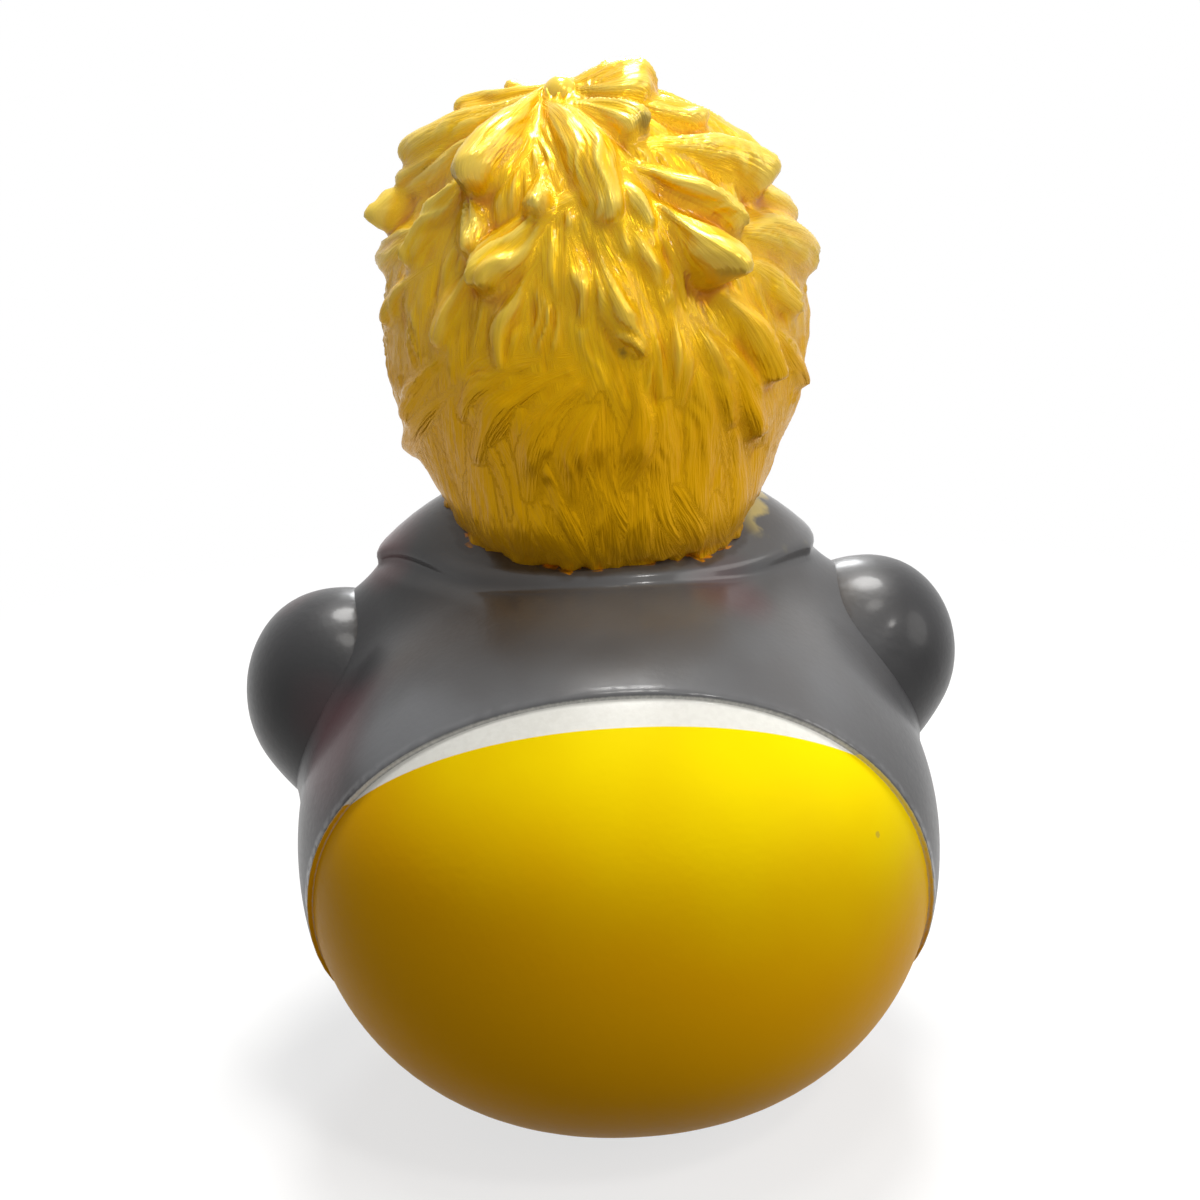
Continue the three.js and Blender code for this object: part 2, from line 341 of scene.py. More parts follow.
def fillet(gap):
    """Rise of a surface towards another one that it meets, for a soft inner corner."""
    return FILLET_LIFT * np.clip(1 - gap / FILLET_REACH, 0, 1) ** 2


def front_lift(points):
    """Lapels and the overlapping edge of the jacket's front, and the shirt sunk between them."""
    x, y, z = np.moveaxis(points, -1, 0)
    front = smooth_step(-y, *FRONT_FADE)
    edge = np.abs(x) - opening_half(z)
    upper = smooth_step(z, OPENING_FOOT, LAPEL_NOTCH)
    width = LAPEL_WIDTH * upper - NOTCH_DEPTH * smooth_step(z, LAPEL_NOTCH, LAPEL_NOTCH + NOTCH_RISE)
    lapel = smooth_step(edge, -OPENING_EDGE, OPENING_EDGE)
    lapel = lapel * (1 - smooth_step(edge, width - LAPEL_EDGE, width + LAPEL_EDGE))
    panel = smooth_step(x, *PANEL_EDGE) * (1 - smooth_step(x, *PANEL_FADE))
    panel = panel * (1 - smooth_step(z, OPENING_FOOT - PANEL_TOP, OPENING_FOOT + PANEL_TOP))
    above = smooth_step(z, OPENING_FOOT - LAPEL_EDGE, OPENING_FOOT + LAPEL_EDGE)
    raised = front * (above * LAPEL_LIFT * lapel + PANEL_LIFT * panel)
    return raised - above * SHIRT_SINK * shirt_front(points)


def first_fall(arc, value):
    """Length along each column at which a value first falls below zero."""
    column = np.arange(value.shape[1])
    after = np.argmax(value < 0, axis=0)
    high = value[after - 1, column]
    low = value[after, column]
    share = high / (high - low)
    return arc[after - 1, column] * (1 - share) + arc[after, column] * share


def make_body():
    """Rump, torso and chest in one skin, with rows of points along the hem, shirt and collar."""
    middle = np.array(BODY_MIDDLE)
    ways = all_ways(BODY_COLUMNS, BODY_SAMPLES)
    skin = middle + skin_reach(body_depth, middle, ways)[..., None] * ways
    skin[..., 2] = np.maximum(skin[..., 2], 0.0)
    x, y, z = np.moveaxis(skin, -1, 0)
    arc = np.concatenate([
        np.zeros((1, BODY_COLUMNS)),
        np.cumsum(np.linalg.norm(np.diff(skin, axis=0), axis=-1), axis=0),
    ])
    hem_line = np.where(z > HEM_LOWEST, y - hem_back(x, np.maximum(z, HEM_LOWEST)), 1.0)
    hem = first_fall(arc, hem_line)
    shirt = np.minimum(first_fall(arc, y - shirt_back(z)), hem - SHIRT_LEAST)
    collar = first_fall(arc, below_collar(x, y, z))

    spans = [(shirt * share, 0.0) for share in np.linspace(0, 1, RUMP_ROWS + 1)[1:]]
    shares = np.linspace(0, 1, SHIRT_ROWS + 1)[1:-1]
    spans += [(shirt + (hem - shirt) * share, 0.0) for share in shares]
    spans += [(hem + rise, JACKET_LIFT * share) for rise, share in HEM_LIP]
    low = hem + HEM_LIP[-1][0]
    high = collar - COLLAR_ROOM
    shares = np.linspace(0, 1, JACKET_ROWS + 1)[1:]
    spans += [(low + (high - low) * share, JACKET_LIFT) for share in shares]
    collar_row = len(spans)
    spans += [(collar + rise, share) for rise, share in COLLAR_LIP]
    low = collar + COLLAR_LIP[-1][0]
    rest = arc[-1] - low
    spans += [(low + rest * share, 1.0) for share in np.linspace(0, 1, NECK_ROWS + 1)[1:-1]]
    length = np.array([span for span, _ in spans])
    lift = np.array([rise for _, rise in spans])
    rings = np.empty(length.shape + (3,))
    for column in range(BODY_COLUMNS):
        for axis in range(3):
            rings[:, column, axis] = np.interp(length[:, column], arc[:, column], skin[:, column, axis])
    raised = np.tile(lift[:, None], (1, BODY_COLUMNS))
    off_shirt = 1 - shirt_front(rings[collar_row:])
    raised[collar_row:] = JACKET_LIFT + COLLAR_LIFT * raised[collar_row:] * off_shirt
    dressed = raised >= JACKET_LIFT
    raised = raised + front_lift(rings) * dressed
    for elbow, size in ARMS:
        raised = raised + fillet(form_depth(rings, elbow, np.array(size) / 2, ROUND)) * dressed
    rings += skin_normals(body_depth, rings) * raised[..., None]
    return shaped_ball("duck_body", rings, skin[0, 0], skin[-1, 0], {})


def on_front(x, z):
    """Point on the front of the body at a distance aside and a height."""
    start = np.array([x, BODY_MIDDLE[1], z])
    return start + FORWARD * skin_reach(body_depth, start, FORWARD)


# Buttons on the jacket's front: heights, size, and how far their middles stand off the jacket
BUTTON_HEIGHTS = (20.5, 13.0)
BUTTON_SIZE = (3.6, 2.2, 3.6)
BUTTON_STAND = 0.3


def make_buttons():
    buttons = []
    for height in BUTTON_HEIGHTS:
        place = on_front(0.0, height) + FORWARD * (JACKET_LIFT + BUTTON_STAND)
        buttons.append(ball("button", BUTTON_SIZE, place, columns=32, rows=16))
    return buttons


# Forearm, cuff and hand: sizes, shares of the way from elbow to wrist, and the thumb on its palm
FOREARM_SIZE = (13.4, 27.0, 13.2)
WRIST = (19.0, -21.5, 29.5)
CUFF_SIZE = (10.6, 4.4, 10.6)
CUFF_REACH = 1.02
HAND_SIZE = (9.4, 10.6, 9.0)
HAND_REACH = 1.2
THUMB_SIZE = (3.8, 7.0, 3.8)
THUMB_PLACE = (0.5, 0.5, 4.4)
THUMB_TURN = 40
# Fineness of the skin over a sleeve or a hand, and how often it is softened
ARM_VOXEL = 0.5
SLEEVE_SOFTNESS = 14
HAND_SOFTNESS = 8


def make_arm(elbow, size):
    """A sleeve bent at the elbow, with a shirt cuff and a hand on the front of the jacket."""
    side = 1 if elbow[0] > 0 else -1
    wrist = Vector((WRIST[0] * side, WRIST[1], WRIST[2]))
    start = Vector(elbow)
    along = wrist - start
    turn = [math.degrees(angle) for angle in along.to_track_quat("Y", "Z").to_euler()]
    upper = ball("upper_arm", size, elbow)
    fore = ball("forearm", FOREARM_SIZE, start + along / 2, turn)
    sleeve = melt("sleeve", [upper, fore], ARM_VOXEL, SLEEVE_SOFTNESS)
    points = points_of(sleeve)
    corner = fillet(np.maximum(body_depth(points) - JACKET_LIFT, 0.0))
    move_points(sleeve, points + normals_of(sleeve) * corner[:, None])
    cuff = ball("cuff", CUFF_SIZE, start + along * CUFF_REACH, turn)
    palm_place = start + along * HAND_REACH
    palm = ball("palm", HAND_SIZE, palm_place, turn)
    thumb_place = palm_place + Vector((THUMB_PLACE[0] * side, THUMB_PLACE[1], THUMB_PLACE[2]))
    thumb = ball("thumb", THUMB_SIZE, thumb_place, (0, 0, THUMB_TURN * side))
    hand = melt("hand", [palm, thumb], ARM_VOXEL, HAND_SOFTNESS)
    return sleeve, cuff, hand


# Face: round cheeks, a bill in two halves with nostrils, and oval eyes
CHEEK = ((8.0, -18.6, 66.0), (8.6, 7.6, 7.6), ROUND)
FACE_BLEND = 1.6
FACE_COLUMNS = 120
FACE_ROWS = 92
BILL_WIDTH = 22.0
BILL_REACH = 12.0
BILL_THICKNESS = 7.2
BILL_UPTURN = 1.6
LOWER_BILL_SHARE = 0.84
MOUTH_DROP = 8.4
NOSTRIL = (3.0, -31.6)
NOSTRIL_SIZE = 0.9
NOSTRIL_STRETCH = 1.6
NOSTRIL_FLOOR = 0.36
NOSTRIL_DEPTH = 0.5
EYE_SIZE = (7.6, 5.2, 10.0)
EYE_ASIDE = 8.5
EYE_RISE = 4.5
EYE_SINK = 1.5


def face_depth(points):
    cheeks = [((side * CHEEK[0][0],) + CHEEK[0][1:], CHEEK[1], CHEEK[2]) for side in (-1, 1)]
    return blended_depth(points, [(HEAD_MIDDLE, HEAD_HALF, ROUND)] + cheeks, FACE_BLEND)


def make_face():
    ways = all_ways(FACE_COLUMNS, FACE_ROWS)
    skin = HEAD_MIDDLE + skin_reach(face_depth, HEAD_MIDDLE, ways)[..., None] * ways
    return shaped_ball("duck_head", skin[1:-1], skin[0, 0], skin[-1, 0], {})


def make_half_bill(share, offset):
    """One half of the bill, rooted in the face and turned up towards its tip."""
    half = ball("half_bill", (2, 2, 2), (0, 0, 0), columns=96, rows=64)
    aside, back, up = points_of(half).T
    forward = np.maximum(-back, 0.0)
    height = HEAD_MIDDLE[2] - MOUTH_DROP + offset + up * share * BILL_THICKNESS / 2
    points = np.stack([
        aside * share * BILL_WIDTH / 2,
        HEAD_MIDDLE[1] - HEAD_HALF[1] + back * share * BILL_REACH,
        height + BILL_UPTURN * forward ** 2,
    ], 1)
    gap = np.hypot(np.abs(points[:, 0]) - NOSTRIL[0], (points[:, 1] - NOSTRIL[1]) / NOSTRIL_STRETCH)
    hollow = 1 - smooth_step(gap, NOSTRIL_FLOOR, NOSTRIL_SIZE)
    points[:, 2] -= NOSTRIL_DEPTH * hollow * (up > 0)
    move_points(half, points)
    return half


def make_bill():
    apart = BILL_THICKNESS / 4
    return join("bill", [make_half_bill(1.0, apart), make_half_bill(LOWER_BILL_SHARE, -apart)])


def make_eye(side):
    start = HEAD_MIDDLE + np.array([side * EYE_ASIDE, 0.0, EYE_RISE])
    place = start + FORWARD * (skin_reach(face_depth, start, FORWARD) - EYE_SINK)
    return ball("eye", EYE_SIZE, place, columns=64, rows=48)


def normals_of(piece):
    flat = np.empty(len(piece.data.vertices) * 3)
    piece.data.vertex_normals.foreach_get("vector", flat)
    return flat.reshape(-1, 3)


def evened(piece, points, rounds):
    """Points drawn towards their neighbours' middle a number of times."""
    ends = np.empty(len(piece.data.edges) * 2, dtype=np.int32)
    piece.data.edges.foreach_get("vertices", ends)
    first, second = ends.reshape(-1, 2).T
    count = np.bincount(ends, minlength=len(points))[:, None]
    for _ in range(rounds):
        total = np.stack([
            np.bincount(first, points[second, axis], len(points))
            + np.bincount(second, points[first, axis], len(points))
            for axis in range(points.shape[1])
        ], 1)
        points = total / count
    return points


# Locks seen in the photograph: root and tip as millimetres to the right of and above the middle of
# the head, sideways bend, width, lift of the tip, and how blunt the tip is
LOCKS = (
    (-3.4, 22.0, -3.4, 23.2, 0.0, 4.2, 0.9, 1.0),
    (-5.0, 24.2, -8.4, 24.2, 0.0, 3.4, 1.0, 0.8),
    (-5.2, 23.6, -12.6, 21.8, 0.3, 4.4, 1.9, 0.9),
    (-5.4, 23.0, -18.2, 18.2, 0.8, 5.8, 1.6, 0.9),
    (-8.5, 20.0, -18.6, 14.7, 0.6, 4.6, 1.2, 0.9),
    (-16.5, 15.5, -22.6, 12.1, 0.0, 4.2, 1.0, 0.9),
    (-17.5, 10.5, -21.2, 6.8, 0.0, 4.6, 0.8, 0.9),
    (-5.6, 22.8, -11.6, 14.4, 0.3, 5.6, 2.6, 0.75),
    (-10.5, 16.0, -18.0, 6.8, -0.5, 4.2, 1.6, 0.6),
    (-4.3, 22.0, 1.1, 11.4, 0.5, 5.8, 2.0, 0.6),
    (-5.6, 14.8, -5.9, 11.6, 0.0, 3.2, 2.0, 1.0),
    (-3.4, 12.5, -11.0, 5.4, -0.4, 5.8, 1.8, 0.8),
    (-12.5, 13.5, -12.6, 8.2, 0.2, 3.8, 1.3, 0.8),
    (-2.4, 23.6, 3.0, 23.8, 0.0, 11.0, 2.2, 1.0),
    (-0.6, 22.2, 9.6, 20.3, 0.4, 4.2, 1.2, 0.9),
    (-2.2, 22.2, 3.6, 19.4, 0.2, 4.2, 1.5, 1.0),
    (6.5, 22.6, 16.8, 16.4, 0.8, 5.2, 1.1, 0.9),
    (4.3, 18.0, 15.4, 14.4, 0.5, 4.6, 1.9, 1.0),
    (3.0, 16.2, 13.4, 10.2, 0.4, 3.6, 1.9, 0.7),
    (14.0, 15.0, 19.2, 12.0, 0.0, 4.4, 0.9, 0.9),
    (12.0, 10.0, 21.0, 7.3, 0.5, 5.4, 1.5, 1.0),
    (7.6, 11.2, 11.6, 6.2, 0.0, 5.2, 3.4, 1.0),
    (1.0, 15.5, 5.4, 10.2, 0.3, 3.0, 1.3, 0.5),
    (2.0, 12.0, 7.0, 3.8, 0.3, 3.2, 1.1, 0.4),
    (-0.4, 9.5, 4.4, -2.0, -0.8, 4.2, 1.6, 0.55),
    (-3.0, 10.0, -1.5, 0.5, 0.4, 3.6, 1.2, 0.4),
    (-6.0, 6.0, -9.0, -4.0, -0.6, 4.6, 1.2, 0.5),
    (-12.0, 7.0, -15.5, -1.0, -0.5, 4.2, 1.2, 0.6),
    (-17.0, 6.0, -20.4, 1.0, 0.0, 3.4, 0.9, 0.7),
    (12.5, 7.5, 19.6, 2.5, 0.4, 3.8, 0.7, 0.8),
    (12.0, 4.0, 16.9, -4.3, 0.6, 3.6, 1.4, 0.9),
    (9.0, 2.5, 13.5, -9.3, 0.4, 3.2, 1.1, 0.5),
    (12.0, -1.0, 15.7, -9.8, 0.5, 3.4, 1.3, 0.8),
    (17.0, 1.0, 20.1, -4.8, 0.0, 3.2, 0.8, 0.8),
    (7.5, 3.0, 8.5, -7.0, 0.3, 3.6, 1.0, 0.4),
    (-15.0, -3.0, -18.4, -8.6, -0.3, 3.6, 0.8, 0.9),
    (-14.5, -6.5, -18.0, -12.0, -0.3, 3.6, 0.8, 0.9),
    (-4.0, -2.5, -13.5, -8.0, -1.6, 4.8, 0.75, 0.45),
    (-2.5, -4.0, -11.5, -13.0, -1.8, 4.8, 0.75, 0.45),
    (-1.0, -5.0, -6.5, -16.0, -1.8, 4.6, 0.75, 0.45),
    (1.0, -6.0, -2.5, -16.5, -1.4, 4.4, 0.7, 0.45),
    (4.0, -5.0, 3.0, -15.0, 1.2, 4.4, 0.7, 0.45),
)
# Rounds of smaller locks about the crown: angle from the crown at root and tip, how many, width,
# lift, wave, and how much they die away towards the tip
LOCK_ROUNDS = (
    (5, 34, 9, 6.0, 0.6, 0.0, 0.0),
    (16, 56, 13, 6.2, 0.7, 0.2, 0.2),
    (30, 80, 18, 5.6, 0.75, 0.5, 0.6),
    (42, 104, 24, 5.0, 0.7, 1.0, 0.9),
    (60, 124, 28, 4.6, 0.6, 1.6, 1.0),
    (80, 142, 28, 4.4, 0.5, 2.0, 1.0),
    (100, 156, 26, 4.2, 0.4, 1.8, 1.0),
)
# How far smaller locks stray: in their round, at root and tip, in heading and in bend
ROUND_STRAY = 0.3
ROOT_STRAY = 5.0
TIP_STRAY = 4.0
HEADING_STRAY = 10.0
BEND_STRAY = 0.8
# Ranges of their width and lift, as factors, and of how blunt they are
WIDTH_RANGE = (0.75, 1.25)
LIFT_RANGE = (0.5, 1.4)
BLUNT_RANGE = (0.35, 1.0)
# How far to the front they begin to stand fuller and are fullest, and how much fuller
FRONT_RANGE = (0.1, 0.6)
FRONT_FULLNESS = 3.0
# Steps along a lock, how far from its middle points still belong to it, and how far its tip leans
LOCK_STEPS = 20
LOCK_REACH = 0.6
TIP_LEAN = 0.25
# Shape of a lock: shares of its width and length at which it widens, tapers and ends, and its section
ROOT_WIDTH = 0.38
FULL_WIDTH = 0.7
TIP_TAPER = 0.75
TAPER_START = 0.45
WIDEST_SLANT = 1.5
CREST_SHIFT = 0.4
TIP_START = 0.28
TIP_LENGTH = 0.5
ROOT_LENGTH = 0.5
SIDE_POWER = 2.0
TIP_POWER = 2.4
ROOT_RISE = 0.16
RISE_POWER = 1.2
SHOULDER_POWER = 0.72
SOFT_SHOULDER = 0.7
# Pointed locks die away towards the tip: by how much, less a share of how blunt they are
POINTED_FADE = 1.6
BLUNT_SHARE = 2.0
# Tips this far beside the cap make the outline; other locks stand higher by a factor
OUTLINE_GAP = 0.3
INNER_FULLNESS = 1.9
# Strands where no lock stands, in millimetres to the radian round the crown and away from it
CROWN_STRAND = 20.0
CROWN_ALONG = 22.0
# Steps that set the strands of one lock apart from those of the next
STRAND_STEP = 7.7
ALONG_STEP = 13.0

# Fullness of the hair over the nape, its lumps, and the grid it is worked out on
NAPE_LIFT = 2.6
NAPE_RISE = (-22.0, -46.0)
NAPE_BEARING = (84.0, 40.0)
LUMP_SIZE = 5.0
LUMP_HEIGHT = 0.35
HAIR_ROWS = 230
HAIR_COLUMNS = 360
BACK_CROWDING = 0.35
HAIR_SEED = 7
# Strand lines: spacing and depth, height and slope of the ridges between them, length and wobble
STRAND_LINES = ((3.2, 0.3), (1.5, 0.4), (0.7, 0.22))
RIDGE_HEIGHT = 0.5
RIDGE_SLOPE = 2.0
STRAND_STRETCH = 8.0
STRAND_WOBBLE = 2.0
# Softness of the locks, and how much calmer and softer they are below the head's middle
HAIR_SOFTNESS = 6
LOWER_HAIR = (0.0, 12.0)
LOWER_CALM = 0.6
LOWER_SOFTNESS = 24
# Joints between locks: jump of the strands that shows one, its width, and how much it is softened
STRAND_JUMP = (0.15, 0.6)
JOINT_ROUNDS = 2
JOINT_SPREAD = 2.0
JOINT_SOFTNESS = 4
# Rounds of softening that tell pits from ridges, and the gap to the body that counts as nape
PIT_ROUNDS = 14
NAPE_GAP = (0.6, 2.4)
# Raggedness of the hair's edge on the jacket: how far above it, size and height
RAGGED_REACH = (0.8, 2.6)
RAGGED_SIZE = 1.7
RAGGED_HEIGHT = 1.4

# Opening of the hair for the face, with the points of the fringe along its edge
FACE_HALF = (16.0, 18.5)
FACE_DROP = 5.9
FACE_START = 6.0
FACE_RIM = (0.95, 1.02)
FACE_SINK = 3.6
OUTSIDE_FACE = 2.0
FRINGE_POINTS = 11
FRINGE_SWAY = 0.8
FRINGE_SWAYS = 3
FRINGE_DEPTH = 0.09
FRINGE_MIDDLE = 0.5

# How far the hair's paint spills over the jacket
SPILL_REACH = 2.0

# Hollows between the locks: place to the right of and above the middle of the head, reach and depth
HOLLOWS = (
    (-17.0, 12.5, 2.6, 1.5),
    (-9.0, 10.5, 2.4, 1.4),
    (-14.0, 4.0, 3.0, 0.9),
    (-1.0, 7.5, 2.0, 0.9),
    (6.9, 14.0, 2.0, 1.0),
    (14.9, 12.5, 2.0, 0.9),
    (10.4, 3.0, 2.4, 0.9),
    (17.4, 4.0, 2.0, 0.7),
)
# Round bud at the crown: place, size, and how much it counts as a ridge for the painted highlight
BUD = (-3.5, 23.3)
BUD_SIZE = (3.5, 3.8, 3.8)
BUD_RIDGE_HIGHLIGHT = -0.2

# Paint stains on the hair: place to the right of and above the middle of the head, and reach
STAINS = ((4.0, 19.4, 0.9), (-11.9, 14.0, 0.8), (2.6, -2.2, 0.5))


def cap_place(bearing, elevation):
    """Points on the hair cap and the way out, from degrees off straight back and above level."""
    bearing = np.radians(bearing)
    elevation = np.radians(elevation)
    way = np.stack([
        np.sin(bearing) * np.cos(elevation),
        np.cos(bearing) * np.cos(elevation),
        np.sin(elevation) * np.ones_like(bearing),
    ], -1)
    return HEAD_MIDDLE + way * CAP_HALF, unit(way / CAP_HALF)


def seen_on_cap(right, up):
    """Direction of the cap's point that the camera sees there, and how far beside the cap that is."""
    eye, axes = camera_place()
    target = HEAD_MIDDLE + axes[0] * right + axes[1] * up
    start = (eye - HEAD_MIDDLE) / CAP_HALF
    way = unit(target - eye) / CAP_HALF
    slope = start @ way
    square = way @ way
    hidden = slope * slope - square * (start @ start - 1)
    found = start - way * (slope + math.sqrt(max(hidden, 0.0))) / square
    reach = np.linalg.norm(found)
    return found / reach, (reach - 1) * CAP_HALF.mean()


def spot_on_cap(right, up):
    """Point of the cap that the camera sees there."""
    return HEAD_MIDDLE + seen_on_cap(right, up)[0] * CAP_HALF


def crown_frame():
    """Axes at the crown: outwards, to the side, and back down the head."""
    crown = seen_on_cap(*CROWN)[0]
    side = unit(np.cross(crown, [0.0, 1.0, 0.0]))
    return crown, side, np.cross(side, crown)


def from_crown(away, turn):
    """Direction that lies some degrees away from the crown, on a bearing round it."""
    crown, side, down = crown_frame()
    away = math.radians(away)
    turn = math.radians(turn)
    return crown * math.cos(away) + (side * math.sin(turn) + down * math.cos(turn)) * math.sin(away)


def face_share(points):
    """Share of the face opening's edge at which points lie: under 1 is inside it."""
    aside = points[..., 0] / FACE_HALF[0]
    above = (points[..., 2] - HEAD_MIDDLE[2] + FACE_DROP) / FACE_HALF[1]
    angle = np.arctan2(aside, above)
    sway = FRINGE_SWAY * np.sin(FRINGE_SWAYS * angle)
    tooth = np.abs(np.sin(FRINGE_POINTS / 2 * angle + sway))
    share = np.hypot(aside, above) + FRINGE_DEPTH * (tooth - FRINGE_MIDDLE) * (above > 0)
    return np.where(points[..., 1] < HEAD_MIDDLE[1] - FACE_START, share, OUTSIDE_FACE)


class Relief:
    """Height of the hair over its cap, with each point's place on the lock that stands highest there."""

    def __init__(self, places):
        crown, side, down = crown_frame()
        way = unit((places - HEAD_MIDDLE) / CAP_HALF)
        self.places = places
        self.height = np.zeros(len(places))
        self.strand = np.arctan2(way @ side, way @ down) * CROWN_STRAND
        self.along = np.arccos(np.clip(way @ crown, -1, 1)) * CROWN_ALONG
        self.lean = np.zeros((len(places), 3))
        self.count = 0

    def add(self, start, end, bend, wave, width, lift, blunt, fade, rng):
        """Raise one lock: narrow and low at its root, full and high towards its tip."""
        self.count += 1
        way = np.linspace(0.0, 1.0, LOCK_STEPS)
        swing = bend * np.sin(math.pi * way)
        swing = swing + wave * way * np.sin(2 * math.pi * way + rng.uniform(0, 2 * math.pi))
        aside = unit(np.cross(start, end)) * (swing / CAP_HALF.mean())[:, None]
        path = unit(start + (end - start) * way[:, None] + aside)
        spine = HEAD_MIDDLE + path * CAP_HALF
        along = unit(np.gradient(spine, axis=0))
        across = unit(np.cross(unit(path / CAP_HALF), along))
        arc = np.concatenate([[0.0], np.cumsum(np.linalg.norm(np.diff(spine, axis=0), axis=1))])
        length = arc[-1]

        gap = np.linalg.norm(self.places - spine[LOCK_STEPS // 2], axis=1)
        near = np.flatnonzero(gap < length * LOCK_REACH + width)
        offset = self.places[near][:, None, :] - spine[None]
        step = np.argmin((offset ** 2).sum(-1), axis=1)
        offset = offset[np.arange(len(near)), step]
        far = arc[step] + (offset * along[step]).sum(-1)
        side = (offset * across[step]).sum(-1)
        share = np.clip(far / length, 0, 1)

        half = width / 2 * (ROOT_WIDTH + (1 - ROOT_WIDTH) * smooth_step(share, 0.0, FULL_WIDTH))
        half = half * (1 - TIP_TAPER * (1 - blunt) * smooth_step(share, TAPER_START, 1.0))
        slant = np.clip(side / half, -WIDEST_SLANT, WIDEST_SLANT)
        crest = slant + rng.uniform(-CREST_SHIFT, CREST_SHIFT) * np.clip(1 - slant ** 2, 0, 1)
        beyond = np.maximum(far - length + TIP_START * width, 0.0) / (TIP_LENGTH * width)
        before = np.maximum(-far, 0.0) / (ROOT_LENGTH * width)
        level = np.clip(1 - np.abs(crest) ** SIDE_POWER - beyond ** TIP_POWER - before ** 2, 0, 1)
        rise = ROOT_RISE + (1 - ROOT_RISE) * share ** RISE_POWER
        rise = rise * (1 - fade * smooth_step(share, TAPER_START, 1.0))
        height = lift * rise * level ** (SHOULDER_POWER + SOFT_SHOULDER * fade)

        higher = height > self.height[near]
        point = near[higher]
        self.height[point] = height[higher]
        self.strand[point] = (slant * width / 2)[higher] + self.count * STRAND_STEP
        self.along[point] = far[higher] + self.count * ALONG_STEP
        self.lean[point] = along[step][higher] * (TIP_LEAN * height * share ** 2)[higher][:, None]


def add_locks(relief, rng):
    """The locks seen in the photograph, and rounds of smaller ones between and below them."""
    for root_right, root_up, tip_right, tip_up, bend, width, lift, blunt in LOCKS:
        start, _ = seen_on_cap(root_right, root_up)
        end, beside = seen_on_cap(tip_right, tip_up)
        fade = max(0.0, POINTED_FADE - BLUNT_SHARE * blunt)
        high = lift * (INNER_FULLNESS if beside < OUTLINE_GAP else 1.0) + beside
        relief.add(start, end, bend, 0.0, width, high, blunt, fade, rng)
    for root_away, tip_away, count, width, lift, wave, fade in LOCK_ROUNDS:
        first = rng.uniform(0, 360)
        for place in range(count):
            turn = first + (place + rng.uniform(-ROUND_STRAY, ROUND_STRAY)) * 360 / count
            shift = rng.uniform(-ROOT_STRAY, ROOT_STRAY)
            start = from_crown(root_away + shift, turn)
            tip = tip_away + shift + rng.uniform(-TIP_STRAY, TIP_STRAY)
            end = from_crown(tip, turn + rng.uniform(-HEADING_STRAY, HEADING_STRAY))
            wide = width * rng.uniform(*WIDTH_RANGE)
            front = float(smooth_step(-end[1], *FRONT_RANGE))
            high = lift * rng.uniform(*LIFT_RANGE) * (1 + FRONT_FULLNESS * front)
            blunt = rng.uniform(*BLUNT_RANGE)
            bend = rng.uniform(-BEND_STRAY, BEND_STRAY)
            relief.add(start, end, bend, wave, wide, high, blunt, fade, rng)


def spread_noise(points, size, seed):
    """Even noise between -1 and 1 over a list of places."""
    return np.array([noise.noise(Vector(point) / size + Vector((seed, 0, 0))) for point in points])


def hair_grid():
    """Bearings off straight back and heights above level, in degrees, closer together at the back."""
    turn = np.arange(HAIR_COLUMNS) / HAIR_COLUMNS
    bearing = 180.0 - 360.0 * turn - 180.0 / math.pi * BACK_CROWDING * np.sin(2 * math.pi * turn)
    rise = np.linspace(-90.0, 90.0, HAIR_ROWS + 1)[1:-1]
    return np.meshgrid(bearing, rise)


def make_locks():
    """A cap over the head, raised into locks and sunk behind the face, with marks for its paint."""
    bearing, rise = hair_grid()
    places, out = (grid.reshape(-1, 3) for grid in cap_place(bearing, rise))
    relief = Relief(places)
    add_locks(relief, random.Random(HAIR_SEED))

    nape = smooth_step(-rise, -NAPE_RISE[0], -NAPE_RISE[1])
    nape = nape * (1 - smooth_step(np.abs(bearing), NAPE_BEARING[1], NAPE_BEARING[0]))
    lumps = LUMP_HEIGHT * spread_noise(places, LUMP_SIZE, HAIR_SEED)
    height = relief.height + NAPE_LIFT * nape.ravel() + lumps
    for right, up, reach, depth in HOLLOWS:
        offset = places - spot_on_cap(right, up)
        height -= depth * np.exp(-(offset ** 2).sum(1) / reach ** 2)
    sink = 1 - smooth_step(face_share(places), *FACE_RIM)
    points = places + out * (height * (1 - sink) - FACE_SINK * sink)[:, None]
    points = points + relief.lean * (1 - sink)[:, None]

    stain = np.zeros(len(points))
    for right, up, reach in STAINS:
        gap = np.linalg.norm(places - spot_on_cap(right, up), axis=1)
        stain = np.maximum(stain, 1 - gap / (2 * reach))
    marks = {"strand": relief.strand, "along": relief.along, "stain": stain}
    rings = points.reshape(HAIR_ROWS - 1, HAIR_COLUMNS, 3)
    hair = shaped_ball("duck_hair", rings, rings[0].mean(0), rings[-1].mean(0), marks)
    return refine(hair, "SMOOTH", factor=SOFTENING, iterations=HAIR_SOFTNESS)


